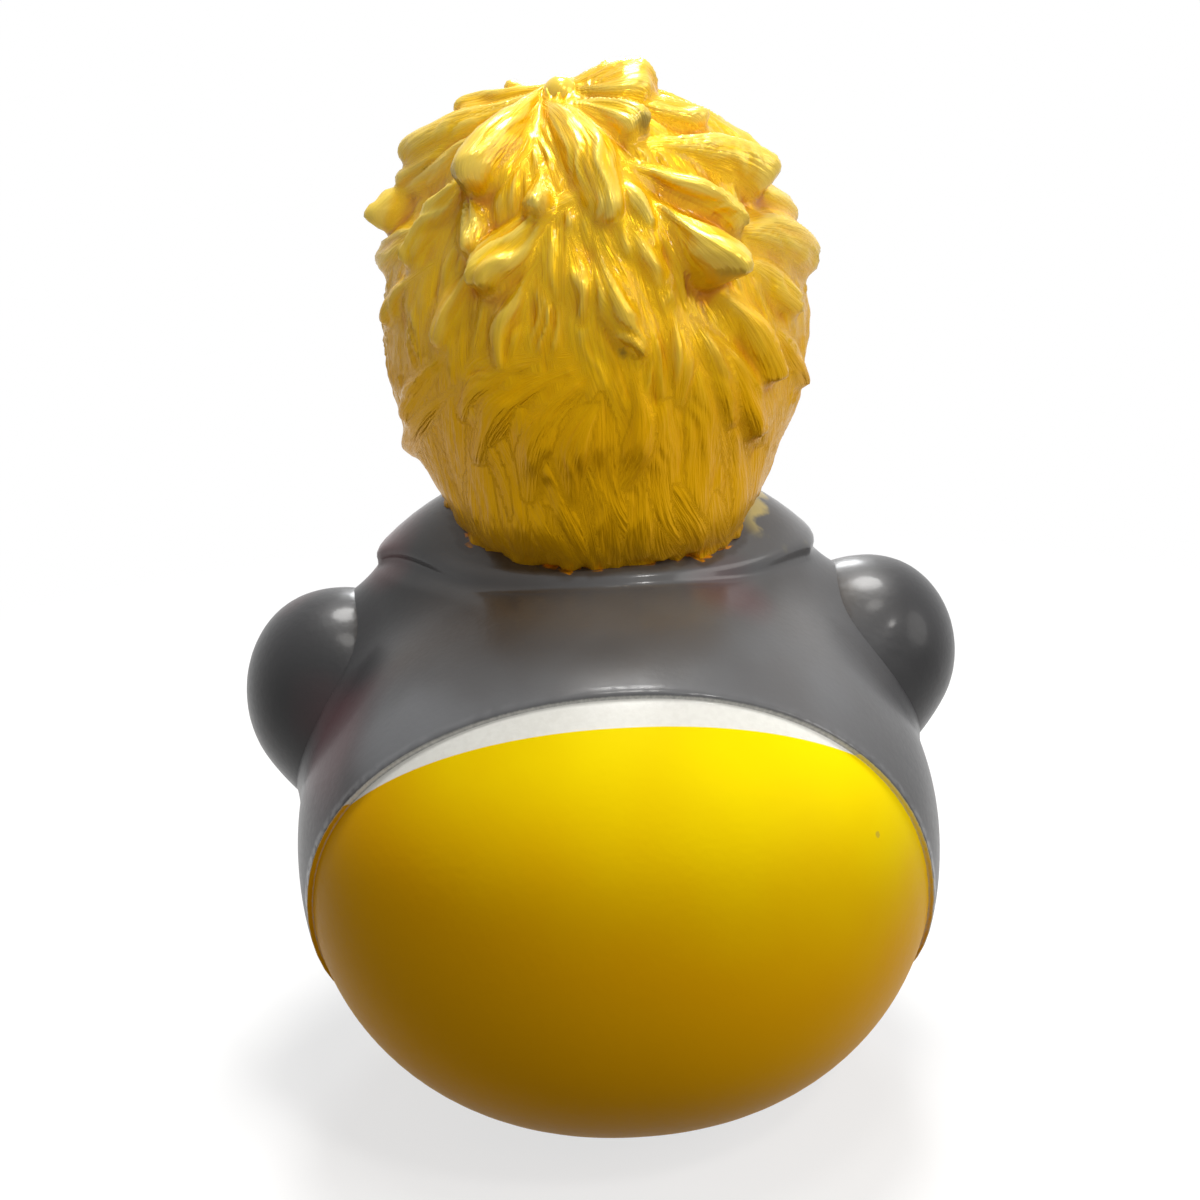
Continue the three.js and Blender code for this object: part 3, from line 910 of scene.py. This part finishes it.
def score_strands(hair):
    """Score the locks with strand lines, soften the joints between them and roughen the low edge."""
    points = points_of(hair)
    lower = LOWER_CALM * smooth_step(HEAD_MIDDLE[2] - points[:, 2], *LOWER_HAIR)
    points += (evened(hair, points, LOWER_SOFTNESS) - points) * lower[:, None]
    move_points(hair, points)
    strand = read_mark(hair, "strand")
    along = read_mark(hair, "along")
    jump = np.abs(evened(hair, strand[:, None], 1)[:, 0] - strand)
    joint = smooth_step(jump, *STRAND_JUMP)
    strand = strand + STRAND_WOBBLE * spread_noise(points, LUMP_SIZE, HAIR_SEED + 1)
    flat = np.zeros(len(points))
    depth = np.zeros(len(points))
    for spacing, tall in STRAND_LINES:
        lines = np.stack([strand / spacing, along / (spacing * STRAND_STRETCH), flat], 1)
        depth += tall * (RIDGE_HEIGHT - RIDGE_SLOPE * np.abs(spread_noise(lines, 1.0, spacing)))
    depth *= (1 - lower) * (1 - joint)
    edge = 1 - smooth_step(body_depth(points), *RAGGED_REACH)
    depth += RAGGED_HEIGHT * edge * spread_noise(points, RAGGED_SIZE, HAIR_SEED + 2)
    points = points + normals_of(hair) * depth[:, None]
    joint = np.clip(JOINT_SPREAD * evened(hair, joint[:, None], JOINT_ROUNDS), 0, 1)
    points += (evened(hair, points, JOINT_SOFTNESS) - points) * joint
    move_points(hair, points)
    pit = ((evened(hair, points, PIT_ROUNDS) - points) * normals_of(hair)).sum(1)
    mark(hair, "pit", pit)
    mark(hair, "nape", 1 - smooth_step(body_depth(points), *NAPE_GAP))


def make_bud():
    """The small round bud at the crown."""
    way, beside = seen_on_cap(*BUD)
    place = HEAD_MIDDLE + way * CAP_HALF + unit(way / CAP_HALF) * beside
    bud = ball("bud", BUD_SIZE, place)
    mark(bud, "pit", np.full(len(bud.data.vertices), BUD_RIDGE_HIGHLIGHT))
    return bud


def make_hair():
    hair = make_locks()
    score_strands(hair)
    return join("duck_hair", [hair, make_bud()])


class Shade:
    """A shader value. Arithmetic on it adds Math nodes, and node() adds any other node."""

    def __init__(self, tree, socket=None):
        self.tree = tree
        self.socket = socket

    def node(self, kind, settings, inputs, output=0):
        made = self.tree.nodes.new(kind)
        for name, value in settings.items():
            setattr(made, name, value)
        for name, value in inputs.items():
            if isinstance(value, Shade):
                self.tree.links.new(value.socket, made.inputs[name])
            else:
                made.inputs[name].default_value = value
        return Shade(self.tree, made.outputs[output])

    def math(self, operation, first, second=0.0):
        return self.node("ShaderNodeMath", {"operation": operation}, {0: first, 1: second})

    def __add__(self, other):
        return self.math("ADD", self, other)

    __radd__ = __add__

    def __sub__(self, other):
        return self.math("SUBTRACT", self, other)

    def __rsub__(self, other):
        return self.math("SUBTRACT", other, self)

    def __mul__(self, other):
        return self.math("MULTIPLY", self, other)

    __rmul__ = __mul__

    def __truediv__(self, other):
        return self.math("DIVIDE", self, other)

    def __rtruediv__(self, other):
        return self.math("DIVIDE", other, self)

    def at_least(self, least):
        return self.math("MAXIMUM", self, least)

    def size(self):
        return self.math("ABSOLUTE", self)

    def step(self, low, high):
        """A soft step from 0 to 1 between two values."""
        ends = {"Value": self, "From Min": low, "From Max": high}
        return self.node("ShaderNodeMapRange", {"interpolation_type": "SMOOTHSTEP"}, ends)

    def mixed(self, first, second):
        """From the first colour to the second as this value goes from 0 to 1."""
        return self.node("ShaderNodeMix", {"data_type": "RGBA"}, {0: self, 6: first, 7: second}, 2)

    def axes(self):
        return [self.node("ShaderNodeSeparateXYZ", {}, {0: self}, axis) for axis in range(3)]

    def speckle(self, scale, detail, seed):
        """Even noise over a place in millimetres."""
        settings = {"noise_dimensions": "4D"}
        inputs = {"Vector": self, "W": seed, "Scale": scale, "Detail": detail}
        return self.node("ShaderNodeTexNoise", settings, inputs)

    def about(self, level, spread):
        """This noise, moved and stretched to vary about a level."""
        return (self - NOISE_MIDDLE) * spread + level

    def gap(self, spot):
        """Distance from this place to a spot."""
        return self.node("ShaderNodeVectorMath", {"operation": "DISTANCE"}, {0: self, 1: spot}, "Value")

    def mark(self, name):
        return self.node("ShaderNodeAttribute", {"attribute_name": name}, {}, "Fac")

    def show(self, output):
        """Send a finished shader to its material's or the world's output."""
        made = self.tree.nodes.new(output)
        self.tree.links.new(self.socket, made.inputs["Surface"])

    def vector(self, x, y, z):
        return self.node("ShaderNodeCombineXYZ", {}, {0: x, 1: y, 2: z})


def new_material(name):
    """A bare material and the place on its piece in millimetres."""
    material = bpy.data.materials.new(name)
    material.use_nodes = True
    tree = material.node_tree
    tree.nodes.clear()
    blank = Shade(tree)
    place = blank.node("ShaderNodeTexCoord", {}, {}, "Object")
    scaled = place.node("ShaderNodeVectorMath", {"operation": "SCALE"}, {0: place, "Scale": 1 / MM})
    return material, scaled


def coat(place, colour, roughness, height, bump, finish):
    """The shader of a painted or moulded surface, with its fine relief as bump."""
    relief = place.node("ShaderNodeBump", {}, {"Strength": bump, "Distance": MM, "Height": height})
    inputs = {"Base Color": colour, "Roughness": roughness, "Normal": relief}
    return place.node("ShaderNodeBsdfPrincipled", {}, {**inputs, **finish})


# Colours in linear light
YELLOW = (0.95, 0.77, 0.001, 1)
# Deep yellow: painted shade low on the bare yellow, and the colour of the eyelids
YELLOW_SHADE_AND_LID = (0.78, 0.395, 0.001, 1)
YELLOW_WARM = (0.93, 0.7, 0.001, 1)
YELLOW_SHINE = (1.0, 0.86, 0.2, 1)
GREY = (0.14, 0.143, 0.15, 1)
GREY_DARK = (0.095, 0.09, 0.088, 1)
# Painted shade on the jacket's sides and arms
GREY_SIDE_SHADE = (0.03, 0.03, 0.032, 1)
GREY_RED = (0.15, 0.068, 0.072, 1)
# Reddish grey darkened as painted shade
GREY_RED_SHADED = (0.08, 0.04, 0.045, 1)
# Brown grey: painted shade under the hair's edge and below the collar
GREY_BROWN_SHADE = (0.06, 0.045, 0.035, 1)
# Painted sheen on the grey
GREY_PAINTED_SHEEN = (0.2, 0.207, 0.22, 1)
WHITE = (0.79, 0.79, 0.745, 1)
WHITE_DULL = (0.75, 0.747, 0.7, 1)
GOLD = (0.86, 0.46, 0.004, 1)
GOLD_PALE = (0.93, 0.6, 0.01, 1)
# Whitish gold: painted highlight on the hair's upper ridges
GOLD_PAINTED_HIGHLIGHT = (0.95, 0.76, 0.16, 1)
GOLD_SHINE = (1.0, 0.76, 0.08, 1)
# Painted shade on the lower hair
GOLD_LOW_SHADE = (0.92, 0.46, 0.001, 1)
# Deep gold: painted shade in the hair's grooves, and a colour of spilled hair paint
GOLD_DEEP_SHADE_AND_SPILL = (0.66, 0.25, 0.001, 1)
# Brown gold: painted shade at the nape, and a colour of spilled hair paint
GOLD_BROWN_SHADE_AND_SPILL = (0.3, 0.13, 0.004, 1)
STAIN = (0.05, 0.045, 0.02, 1)
SMUDGE_PALE = (0.8, 0.66, 0.2, 1)
ORANGE = (0.85, 0.27, 0.012, 1)
ORANGE_DEEP = (0.7, 0.18, 0.008, 1)
BLACK = (0.018, 0.017, 0.018, 1)

# Noise in the paints: waves to the millimetre, detail and seed; its values lie about the middle
BODY_CLOUDS = (0.09, 2.0, 0.0)
EVEN_CLOUDS = (0.12, 2.0, 0.0)
GRAIN = (1.6, 3.0, 2.0)
EDGE_WAVER = (3.0, 2.0, 4.0)
SPILL_PATCHES = (0.45, 3.0, 6.0)
HAIR_STREAKS = (3.0, 3.0, 0.0)
HAIR_BANDS = (0.7, 2.0, 3.0)
HAIR_CLOUDS = (0.16, 2.0, 5.0)
NAPE_PATCHES = (0.5, 3.0, 7.0)
STAIN_PATCHES = (1.2, 3.0, 8.0)
NOISE_MIDDLE = 0.5

# Roughness of each surface and how uneven it is, depth of its grain, and the rest of its finish
VINYL_ROUGHNESS = (0.42, 0.14)
JACKET_ROUGHNESS = (0.32, 0.12)
HAIR_ROUGHNESS = (0.22, 0.2)
EYE_ROUGHNESS = (0.3, 0.1)
BODY_BUMP = 0.03
HAIR_BUMP = 0.3
EVEN_BUMP = 0.035
EYE_BUMP = 0.02
RUMP_FINISH = {"Specular IOR Level": 0.03, "Specular Tint": YELLOW_SHINE}
SKIN_FINISH = {"Specular IOR Level": 0.1, "Specular Tint": YELLOW_SHINE}
JACKET_FINISH = {"Specular IOR Level": 0.2, "Coat Roughness": 0.13}
HAIR_FINISH = {
    "Metallic": 0.2,
    "Specular IOR Level": 0.2,
    "Specular Tint": GOLD_SHINE,
    "Coat Roughness": 0.14,
}
WHITE_FINISH = {"Specular IOR Level": 0.35}
DARK_FINISH = {"Specular IOR Level": 0.4}
ORANGE_FINISH = {"Specular IOR Level": 0.4}
EYE_FINISH = {"Specular IOR Level": 0.5}

# Paint edges: half the width over which each turns, and how far they waver
HEM_EDGE = 0.06
PAINT_EDGE = 0.05
FOOT_EDGE = 0.1
EDGE_SWAY = 0.06
SHIRT_SWAY = 0.5
# Painted shade on the yellow: heights between which it deepens downwards, how cloudy that is, and how
# much higher on the left
YELLOW_SHADE_TURN = (49.0, 25.0)
YELLOW_CLOUDS = 8.0
YELLOW_SHADE_SLANT = 0.3
# Dark speck on the yellow: place, reach, how it fades outwards, and strength
SPECK = (-21.7, 30.6, 33.3)
SPECK_REACH = 0.4
SPECK_FADE = (1.0, 0.5)
SPECK_STRENGTH = 0.35
# Grain that dulls the white, and clouds that darken the grey
DULL_GRAIN = (0.4, 0.75)
DARK_CLOUDS = (0.3, 0.7)
DARK_STRENGTH = 0.5
# Painted shade on the jacket: how far aside it starts to darken and where it is darkest, and how much
# sooner on the left
JACKET_SHADE_SIDES = (15.0, 29.0)
SHADE_LEAN = 0.09
# Tints on the jacket, with painted shade and a painted sheen among them: place, reach, colour and
# strength; then how they fade outwards
JACKET_TINTS_AND_SHADE = (
    ((21.2, -2.6, 52.2), 7.0, GREY_RED, 0.9),
    # Red tint darkened as painted shade on the left flank
    ((27.2, 14.9, 38.4), 10.0, GREY_RED_SHADED, 0.9),
    ((-11.7, 11.4, 49.8), 6.0, GREY_RED, 0.6),
    # Painted shade and reflection of the hair below the collar on the left
    ((13.0, 13.0, 49.5), 13.0, GREY_BROWN_SHADE, 0.9),
    # Painted sheen low on the left of the back
    ((19.0, 23.0, 42.5), 8.0, GREY_PAINTED_SHEEN, 0.7),
    ((33.0, -4.0, 50.0), 6.0, GREY_RED, 0.5),
)
PATCH_FADE = (1.0, 0.2)
# Near the hair's edge on the jacket: painted shade that darkens it brown, then the solid edge of spilled
# hair paint, and the grain in it
UNDER_HAIR_SHADE = (0.35, 0.8)
UNDER_HAIR_SHADE_STRENGTH = 0.6
SPILL_EDGE = (0.98, 1.06)
SPILL_GRAIN = (0.4, 0.6)
# Pale smudge of hair paint by the neck: place, reach, fade, how near the hair it shows, and strength
SMUDGE = (-16.6, -0.8, 54.0)
SMUDGE_REACH = 6.0
SMUDGE_FADE = (1.0, 0.5)
SMUDGE_NEAR = (0.1, 0.5)
SMUDGE_STRENGTH = 0.7
# How far aside the jacket's paint is rougher, and by how much
ROUGH_ASIDE = (22.0, 27.0)
SIDE_ROUGHNESS = 0.06
# How far aside, how high and how near the hem the jacket has a clear gloss, and how strong it is
GLOSSY_ASIDE = (20.0, 26.0)
SIDE_GLOSS = 0.14
GLOSSY_ABOVE = (49.2, 50.2)
TOP_GLOSS = 0.4
GLOSSY_RIM = (1.1, 0.6)
RIM_GRAIN = (0.35, 0.6)
RIM_GLOSS = 0.5

# Hair paint: how long its streaks are drawn, and the streaks that are pale
STREAK_STRETCH = 0.09
PALE_STREAKS = (0.35, 0.68)
# Heights between which it turns deeper downwards as painted shade, and upwards gets a painted highlight
# on its ridges and more gloss; then their clouds
HAIR_SHADE_TURN = (86.0, 62.0)
LOW_SHADE_STRENGTH = 0.85
HAIR_TOP = (68.0, 88.0)
TOP_COAT = 0.36
HEIGHT_CLOUDS = 12.0
# Painted highlight on the ridges and painted shade in the grooves: range of the pit mark, how uneven,
# and strength
RIDGE_HIGHLIGHT_RANGE = (0.0, -0.3)
RIDGE_STREAKS = 0.2
RIDGE_HIGHLIGHT_STRENGTH = 0.6
PIT_SHADE_RANGE = (0.06, 0.42)
PIT_CLOUDS = 0.16
# Painted shade in brown patches at the nape, and dark stains: range of the noise or mark, how uneven,
# and strength
NAPE_SHADE_PATCHES = (0.35, 0.65)
NAPE_SHADE_STRENGTH = 0.6
STAIN_RANGE = (0.4, 0.9)
STAIN_UNEVEN = 0.8
STAIN_STRENGTH = 0.6
# Clouds that darken an even paint
EVEN_RANGE = (0.35, 0.7)

# Eyes: where the pupil lies, squares of its half sizes, its edge, the glint on it as a painted
# highlight, and the lid
PUPIL_ASIDE = 0.3
PUPIL_DROP = 0.9
PUPIL_SQUARES = (4.4, 7.6)
PUPIL_EDGE = (1.04, 0.96)
GLINT = (0.7, 1.1)
GLINT_EDGE = (0.4, 0.3)
LID_SLOPE = 0.1
LID_EDGE = (2.55, 2.65)


def body_colours(place, jacket, spill, cloud, grain):
    """Colour of the bare yellow, deepened downwards as painted shade, and of the paint on it with tints,
    painted shade and sheen, and spilled hair paint.
    """
    x, _, z = place.axes()
    # Painted shade: the bare yellow turns deeper towards the bottom and on the left
    painted_shade = (z - x * YELLOW_SHADE_SLANT + cloud.about(0.0, YELLOW_CLOUDS)).step(*YELLOW_SHADE_TURN)
    yellow = painted_shade.mixed(YELLOW, YELLOW_SHADE_AND_LID)
    speck = (place.gap(SPECK) / SPECK_REACH + grain.about(0.0, 1.0)).step(*SPECK_FADE)
    yellow = (speck * SPECK_STRENGTH).mixed(yellow, GREY_DARK)
    white = grain.step(*DULL_GRAIN).mixed(WHITE, WHITE_DULL)
    # Painted shade: the grey darkens towards the sides and arms, sooner on the left
    shaded = (x.size() + x * SHADE_LEAN).step(*JACKET_SHADE_SIDES)
    grey = (cloud.step(*DARK_CLOUDS) * DARK_STRENGTH).mixed(GREY, GREY_DARK)
    grey = shaded.mixed(grey, GREY_SIDE_SHADE)
    # Tints, with painted shade and a painted sheen among them
    for spot, reach, patch_colour, strength in JACKET_TINTS_AND_SHADE:
        patch_share = (place.gap(spot) / reach + cloud.about(0.0, 1.0)).step(*PATCH_FADE)
        grey = (patch_share * strength).mixed(grey, patch_colour)
    paint = jacket.mixed(white, grey)
    # Painted shade darkens the jacket under the hair's edge
    paint = (spill.step(*UNDER_HAIR_SHADE) * UNDER_HAIR_SHADE_STRENGTH).mixed(paint, GREY_BROWN_SHADE)
    solid = grain.step(*SPILL_GRAIN).mixed(GOLD_BROWN_SHADE_AND_SPILL, GOLD_DEEP_SHADE_AND_SPILL)
    paint = spill.step(*SPILL_EDGE).mixed(paint, solid)
    smudge = (place.gap(SMUDGE) / SMUDGE_REACH).step(*SMUDGE_FADE) * spill.step(*SMUDGE_NEAR)
    paint = (smudge * SMUDGE_STRENGTH).mixed(paint, SMUDGE_PALE)
    return yellow, paint


def body_material():
    """Yellow vinyl with a white shirt edge and a grey jacket sprayed on."""
    material, place = new_material("painted_vinyl")
    x, y, z = place.axes()
    cloud = place.speckle(*BODY_CLOUDS)
    grain = place.speckle(*GRAIN)
    waver = place.speckle(*EDGE_WAVER).about(0.0, EDGE_SWAY)
    inside_hem = hem_back(x, z.at_least(HEM_LOWEST)) + waver - y
    inside_shirt = shirt_back(z) + waver * SHIRT_SWAY - y
    opening = (opening_half(z) + waver - x.size()).step(-PAINT_EDGE, PAINT_EDGE)
    opening = opening * y.step(-FRONT_FADE[0], -FRONT_FADE[1])
    opening = opening * z.step(OPENING_FOOT - FOOT_EDGE, OPENING_FOOT + FOOT_EDGE)
    jacket = inside_hem.step(-HEM_EDGE, HEM_EDGE) * (1.0 - opening)
    shirt = inside_shirt.step(-PAINT_EDGE, PAINT_EDGE) * z.step(*SHIRT_LOW)
    spill = place.mark("spill") + place.speckle(*SPILL_PATCHES).about(0.0, 1.0)
    yellow, paint = body_colours(place, jacket, spill, cloud, grain)

    satin = grain.about(*JACKET_ROUGHNESS) + x.size().step(*ROUGH_ASIDE) * SIDE_ROUGHNESS
    side = x.size().step(*GLOSSY_ASIDE)
    top = z.step(*GLOSSY_ABOVE) * (1.0 - side)
    rim = inside_hem.step(*GLOSSY_RIM) * grain.step(*RIM_GRAIN)
    gloss = {"Coat Weight": side * SIDE_GLOSS + top * TOP_GLOSS + rim * RIM_GLOSS}
    painted = coat(place, paint, satin, grain, BODY_BUMP, {**JACKET_FINISH, **gloss})
    bare = coat(place, yellow, grain.about(*VINYL_ROUGHNESS), grain, BODY_BUMP, RUMP_FINISH)
    cover = jacket.at_least(shirt)
    both = place.node("ShaderNodeMixShader", {}, {0: cover, 1: bare, 2: painted})
    both.show("ShaderNodeOutputMaterial")
    return material


def hair_material():
    """Glossy golden paint, with a painted highlight on the upper ridges, and painted shade in the
    grooves, low down and at the nape.
    """
    material, place = new_material("golden_paint")
    pit = place.mark("pit")
    along_strands = place.vector(place.mark("strand"), place.mark("along") * STREAK_STRETCH, 0.0)
    streak = along_strands.speckle(*HAIR_STREAKS)
    band = along_strands.speckle(*HAIR_BANDS)
    cloud = place.speckle(*HAIR_CLOUDS)
    height = place.axes()[2] + cloud.about(0.0, HEIGHT_CLOUDS)
    top = height.step(*HAIR_TOP)
    colour = ((streak + band) / 2).step(*PALE_STREAKS).mixed(GOLD, GOLD_PALE)
    # Painted shade: deeper gold towards the bottom
    colour = (height.step(*HAIR_SHADE_TURN) * LOW_SHADE_STRENGTH).mixed(colour, GOLD_LOW_SHADE)
    # Painted highlight on the upper ridges
    ridge_highlight = (pit + streak.about(0.0, RIDGE_STREAKS)).step(*RIDGE_HIGHLIGHT_RANGE) * top
    colour = (ridge_highlight * RIDGE_HIGHLIGHT_STRENGTH).mixed(colour, GOLD_PAINTED_HIGHLIGHT)
    # Painted shade in the grooves
    painted_shade = (pit + cloud.about(0.0, PIT_CLOUDS)).step(*PIT_SHADE_RANGE)
    colour = painted_shade.mixed(colour, GOLD_DEEP_SHADE_AND_SPILL)
    # Painted shade in brown patches where the hair meets the jacket
    nape = place.mark("nape") * place.speckle(*NAPE_PATCHES).step(*NAPE_SHADE_PATCHES)
    colour = (nape * NAPE_SHADE_STRENGTH).mixed(colour, GOLD_BROWN_SHADE_AND_SPILL)
    stain = place.mark("stain") + place.speckle(*STAIN_PATCHES).about(0.0, STAIN_UNEVEN)
    colour = (stain.step(*STAIN_RANGE) * STAIN_STRENGTH).mixed(colour, STAIN)
    finish = {**HAIR_FINISH, "Coat Weight": top * TOP_COAT}
    surface = coat(place, colour, streak.about(*HAIR_ROUGHNESS), streak, HAIR_BUMP, finish)
    surface.show("ShaderNodeOutputMaterial")
    return material


def even_material(name, pale, dark, finish):
    """One even paint, a little uneven in colour and gloss."""
    material, place = new_material(name)
    grain = place.speckle(*GRAIN)
    colour = place.speckle(*EVEN_CLOUDS).step(*EVEN_RANGE).mixed(pale, dark)
    surface = coat(place, colour, grain.about(*VINYL_ROUGHNESS), grain, EVEN_BUMP, finish)
    surface.show("ShaderNodeOutputMaterial")
    return material


def eye_material():
    """White eyes with round dark pupils and a calm, low lid."""
    material, place = new_material("eye_paint")
    x, _, z = place.axes()
    grain = place.speckle(*GRAIN)
    aside = x.size() - EYE_ASIDE - PUPIL_ASIDE
    up = z - HEAD_MIDDLE[2] - EYE_RISE + PUPIL_DROP
    pupil = (aside * aside / PUPIL_SQUARES[0] + up * up / PUPIL_SQUARES[1]).step(*PUPIL_EDGE)
    # Painted highlight: a white glint dot on each pupil
    glint_aside = aside - GLINT[0]
    glint_up = up - GLINT[1]
    glint = (glint_aside * glint_aside + glint_up * glint_up).step(*GLINT_EDGE)
    lid = (up + aside * LID_SLOPE).step(*LID_EDGE)
    colour = grain.step(*DULL_GRAIN).mixed(WHITE, WHITE_DULL)
    colour = pupil.mixed(colour, BLACK)
    colour = glint.mixed(colour, WHITE)
    colour = lid.mixed(colour, YELLOW_SHADE_AND_LID)
    surface = coat(place, colour, grain.about(*EYE_ROUGHNESS), grain, EYE_BUMP, EYE_FINISH)
    surface.show("ShaderNodeOutputMaterial")
    return material


def dress(piece, material):
    piece.data.materials.clear()
    piece.data.materials.append(material)
    select(piece)
    bpy.ops.object.shade_smooth()
    return piece


# Rays that show the background itself, and how much light it gives to all others
BACKGROUND_RAYS = ("Is Camera Ray", "Is Glossy Ray", "Is Transmission Ray")
BACKGROUND = (1, 1, 1, 1)
AMBIENT = 0.2
# Floor: size in metres, how far out it fades into the background, how much it glows, and colours
FLOOR_SIZE = 4.0
FLOOR_NEAR = 60.0
FLOOR_FAR = 190.0
FLOOR_GLOW = 0.7
FLOOR_PALE = (0.9, 0.9, 0.9, 1)
FLOOR_DIM = (0.2, 0.175, 0.15, 1)
# Lamps: name, place and size in metres, power in watts and colour; then the place they all point at
LAMPS = (
    ("overhead", (-0.06, -0.28, 0.85), 0.3, 8.1, (1.0, 0.99, 0.97)),
    ("window", (-0.06, -0.78, 0.46), 0.2, 2.4, (0.97, 0.99, 1.0)),
    ("ceiling", (-0.08, 0.16, 0.95), 0.2, 1.4, (1.0, 0.98, 0.94)),
    ("shelf", (-0.32, 0.46, 0.76), 0.12, 1.5, (1.0, 0.98, 0.95)),
    ("right", (-0.8, 0.3, 0.5), 0.6, 3.0, (1.0, 0.98, 0.95)),
)
LAMP_AIM = (0.0, 0.0, 0.045)


def looked_at(shade):
    """1 for rays that show the background itself: the camera's, and mirrored or clear ones."""
    rays = [shade.node("ShaderNodeLightPath", {}, {}, kind) for kind in BACKGROUND_RAYS]
    return rays[0].at_least(rays[1]).at_least(rays[2])


def make_floor():
    deselect()
    bpy.ops.mesh.primitive_plane_add(size=FLOOR_SIZE)
    floor = bpy.context.object
    floor.name = "floor"
    material, place = new_material("pale_floor")
    x, y, _ = place.axes()
    far = (x * x + y * y).step(FLOOR_NEAR ** 2, FLOOR_FAR ** 2)
    seen = looked_at(place)
    glow = place.node("ShaderNodeEmission", {}, {"Color": BACKGROUND, "Strength": 1.0})
    pale = place.node("ShaderNodeBsdfDiffuse", {}, {"Color": FLOOR_PALE})
    dim = place.node("ShaderNodeBsdfDiffuse", {}, {"Color": FLOOR_DIM})
    glowing = FLOOR_GLOW + far * (1.0 - FLOOR_GLOW)
    white = place.node("ShaderNodeMixShader", {}, {0: glowing, 1: pale, 2: glow})
    both = place.node("ShaderNodeMixShader", {}, {0: seen, 1: dim, 2: white})
    both.show("ShaderNodeOutputMaterial")
    floor.data.materials.append(material)


def add_lamp(name, place, size, power, colour):
    deselect()
    bpy.ops.object.light_add(type="AREA", location=place)
    lamp = bpy.context.object
    lamp.name = name
    lamp.data.shape = "DISK"
    lamp.data.size = size
    lamp.data.energy = power
    lamp.data.color = colour
    way = Vector(LAMP_AIM) - Vector(place)
    lamp.rotation_euler = way.to_track_quat("-Z", "Y").to_euler()


def light_scene():
    for name, place, size, power, colour in LAMPS:
        add_lamp(name, place, size, power, colour)
    world = bpy.data.worlds.new("studio")
    world.use_nodes = True
    tree = world.node_tree
    tree.nodes.clear()
    blank = Shade(tree)
    strength = AMBIENT + looked_at(blank) * (1.0 - AMBIENT)
    ambient = blank.node("ShaderNodeBackground", {}, {"Color": BACKGROUND, "Strength": strength})
    ambient.show("ShaderNodeOutputWorld")
    bpy.context.scene.world = world


def add_camera():
    eye, axes = camera_place()
    turn = Matrix([list(axis) for axis in axes]).transposed().to_4x4()
    deselect()
    bpy.ops.object.camera_add()
    camera = bpy.context.object
    camera.matrix_world = Matrix.Translation(Vector(eye) * MM) @ turn
    camera.data.lens = LENS
    camera.data.sensor_width = SENSOR_WIDTH
    camera.data.clip_start = CLIP_START
    bpy.context.scene.camera = camera


def mark_spill(piece, hair):
    """Mark the points of the jacket that lie close under the hair, where its paint has spilled over and
    painted shade darkens the jacket.
    """
    tree = KDTree(len(hair.data.vertices))
    for number, vertex in enumerate(hair.data.vertices):
        tree.insert(vertex.co, number)
    tree.balance()
    gap = np.array([tree.find(vertex.co)[2] for vertex in piece.data.vertices]) / MM
    mark(piece, "spill", 1 - smooth_step(gap, 0.0, SPILL_REACH))


def make_duck():
    """The three skins of the moulding: body, head and hair, in their paints."""
    yellow = even_material("yellow_vinyl", YELLOW, YELLOW_WARM, SKIN_FINISH)
    white = even_material("white_paint", WHITE, WHITE_DULL, WHITE_FINISH)
    dark = even_material("dark_paint", GREY_DARK, BLACK, DARK_FINISH)
    orange = even_material("orange_paint", ORANGE, ORANGE_DEEP, ORANGE_FINISH)
    jacket = body_material()

    hair = make_hair()
    dress(hair, hair_material())
    body = make_body()
    mark_spill(body, hair)
    pieces = [dress(body, jacket)]
    pieces += [dress(button, dark) for button in make_buttons()]
    for elbow, size in ARMS:
        sleeve, cuff, hand = make_arm(elbow, size)
        pieces += [dress(sleeve, jacket), dress(cuff, white), dress(hand, yellow)]
    body = join("duck_body", pieces)
    eyes = eye_material()
    pieces = [dress(make_face(), yellow), dress(make_bill(), orange)]
    pieces += [dress(make_eye(side), eyes) for side in (-1, 1)]
    return body, join("duck_head", pieces), hair


add_camera()
for piece in make_duck():
    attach(piece, "root")
    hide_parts("duck")
make_floor()
light_scene()
bpy.context.scene.view_settings.view_transform = "Standard"
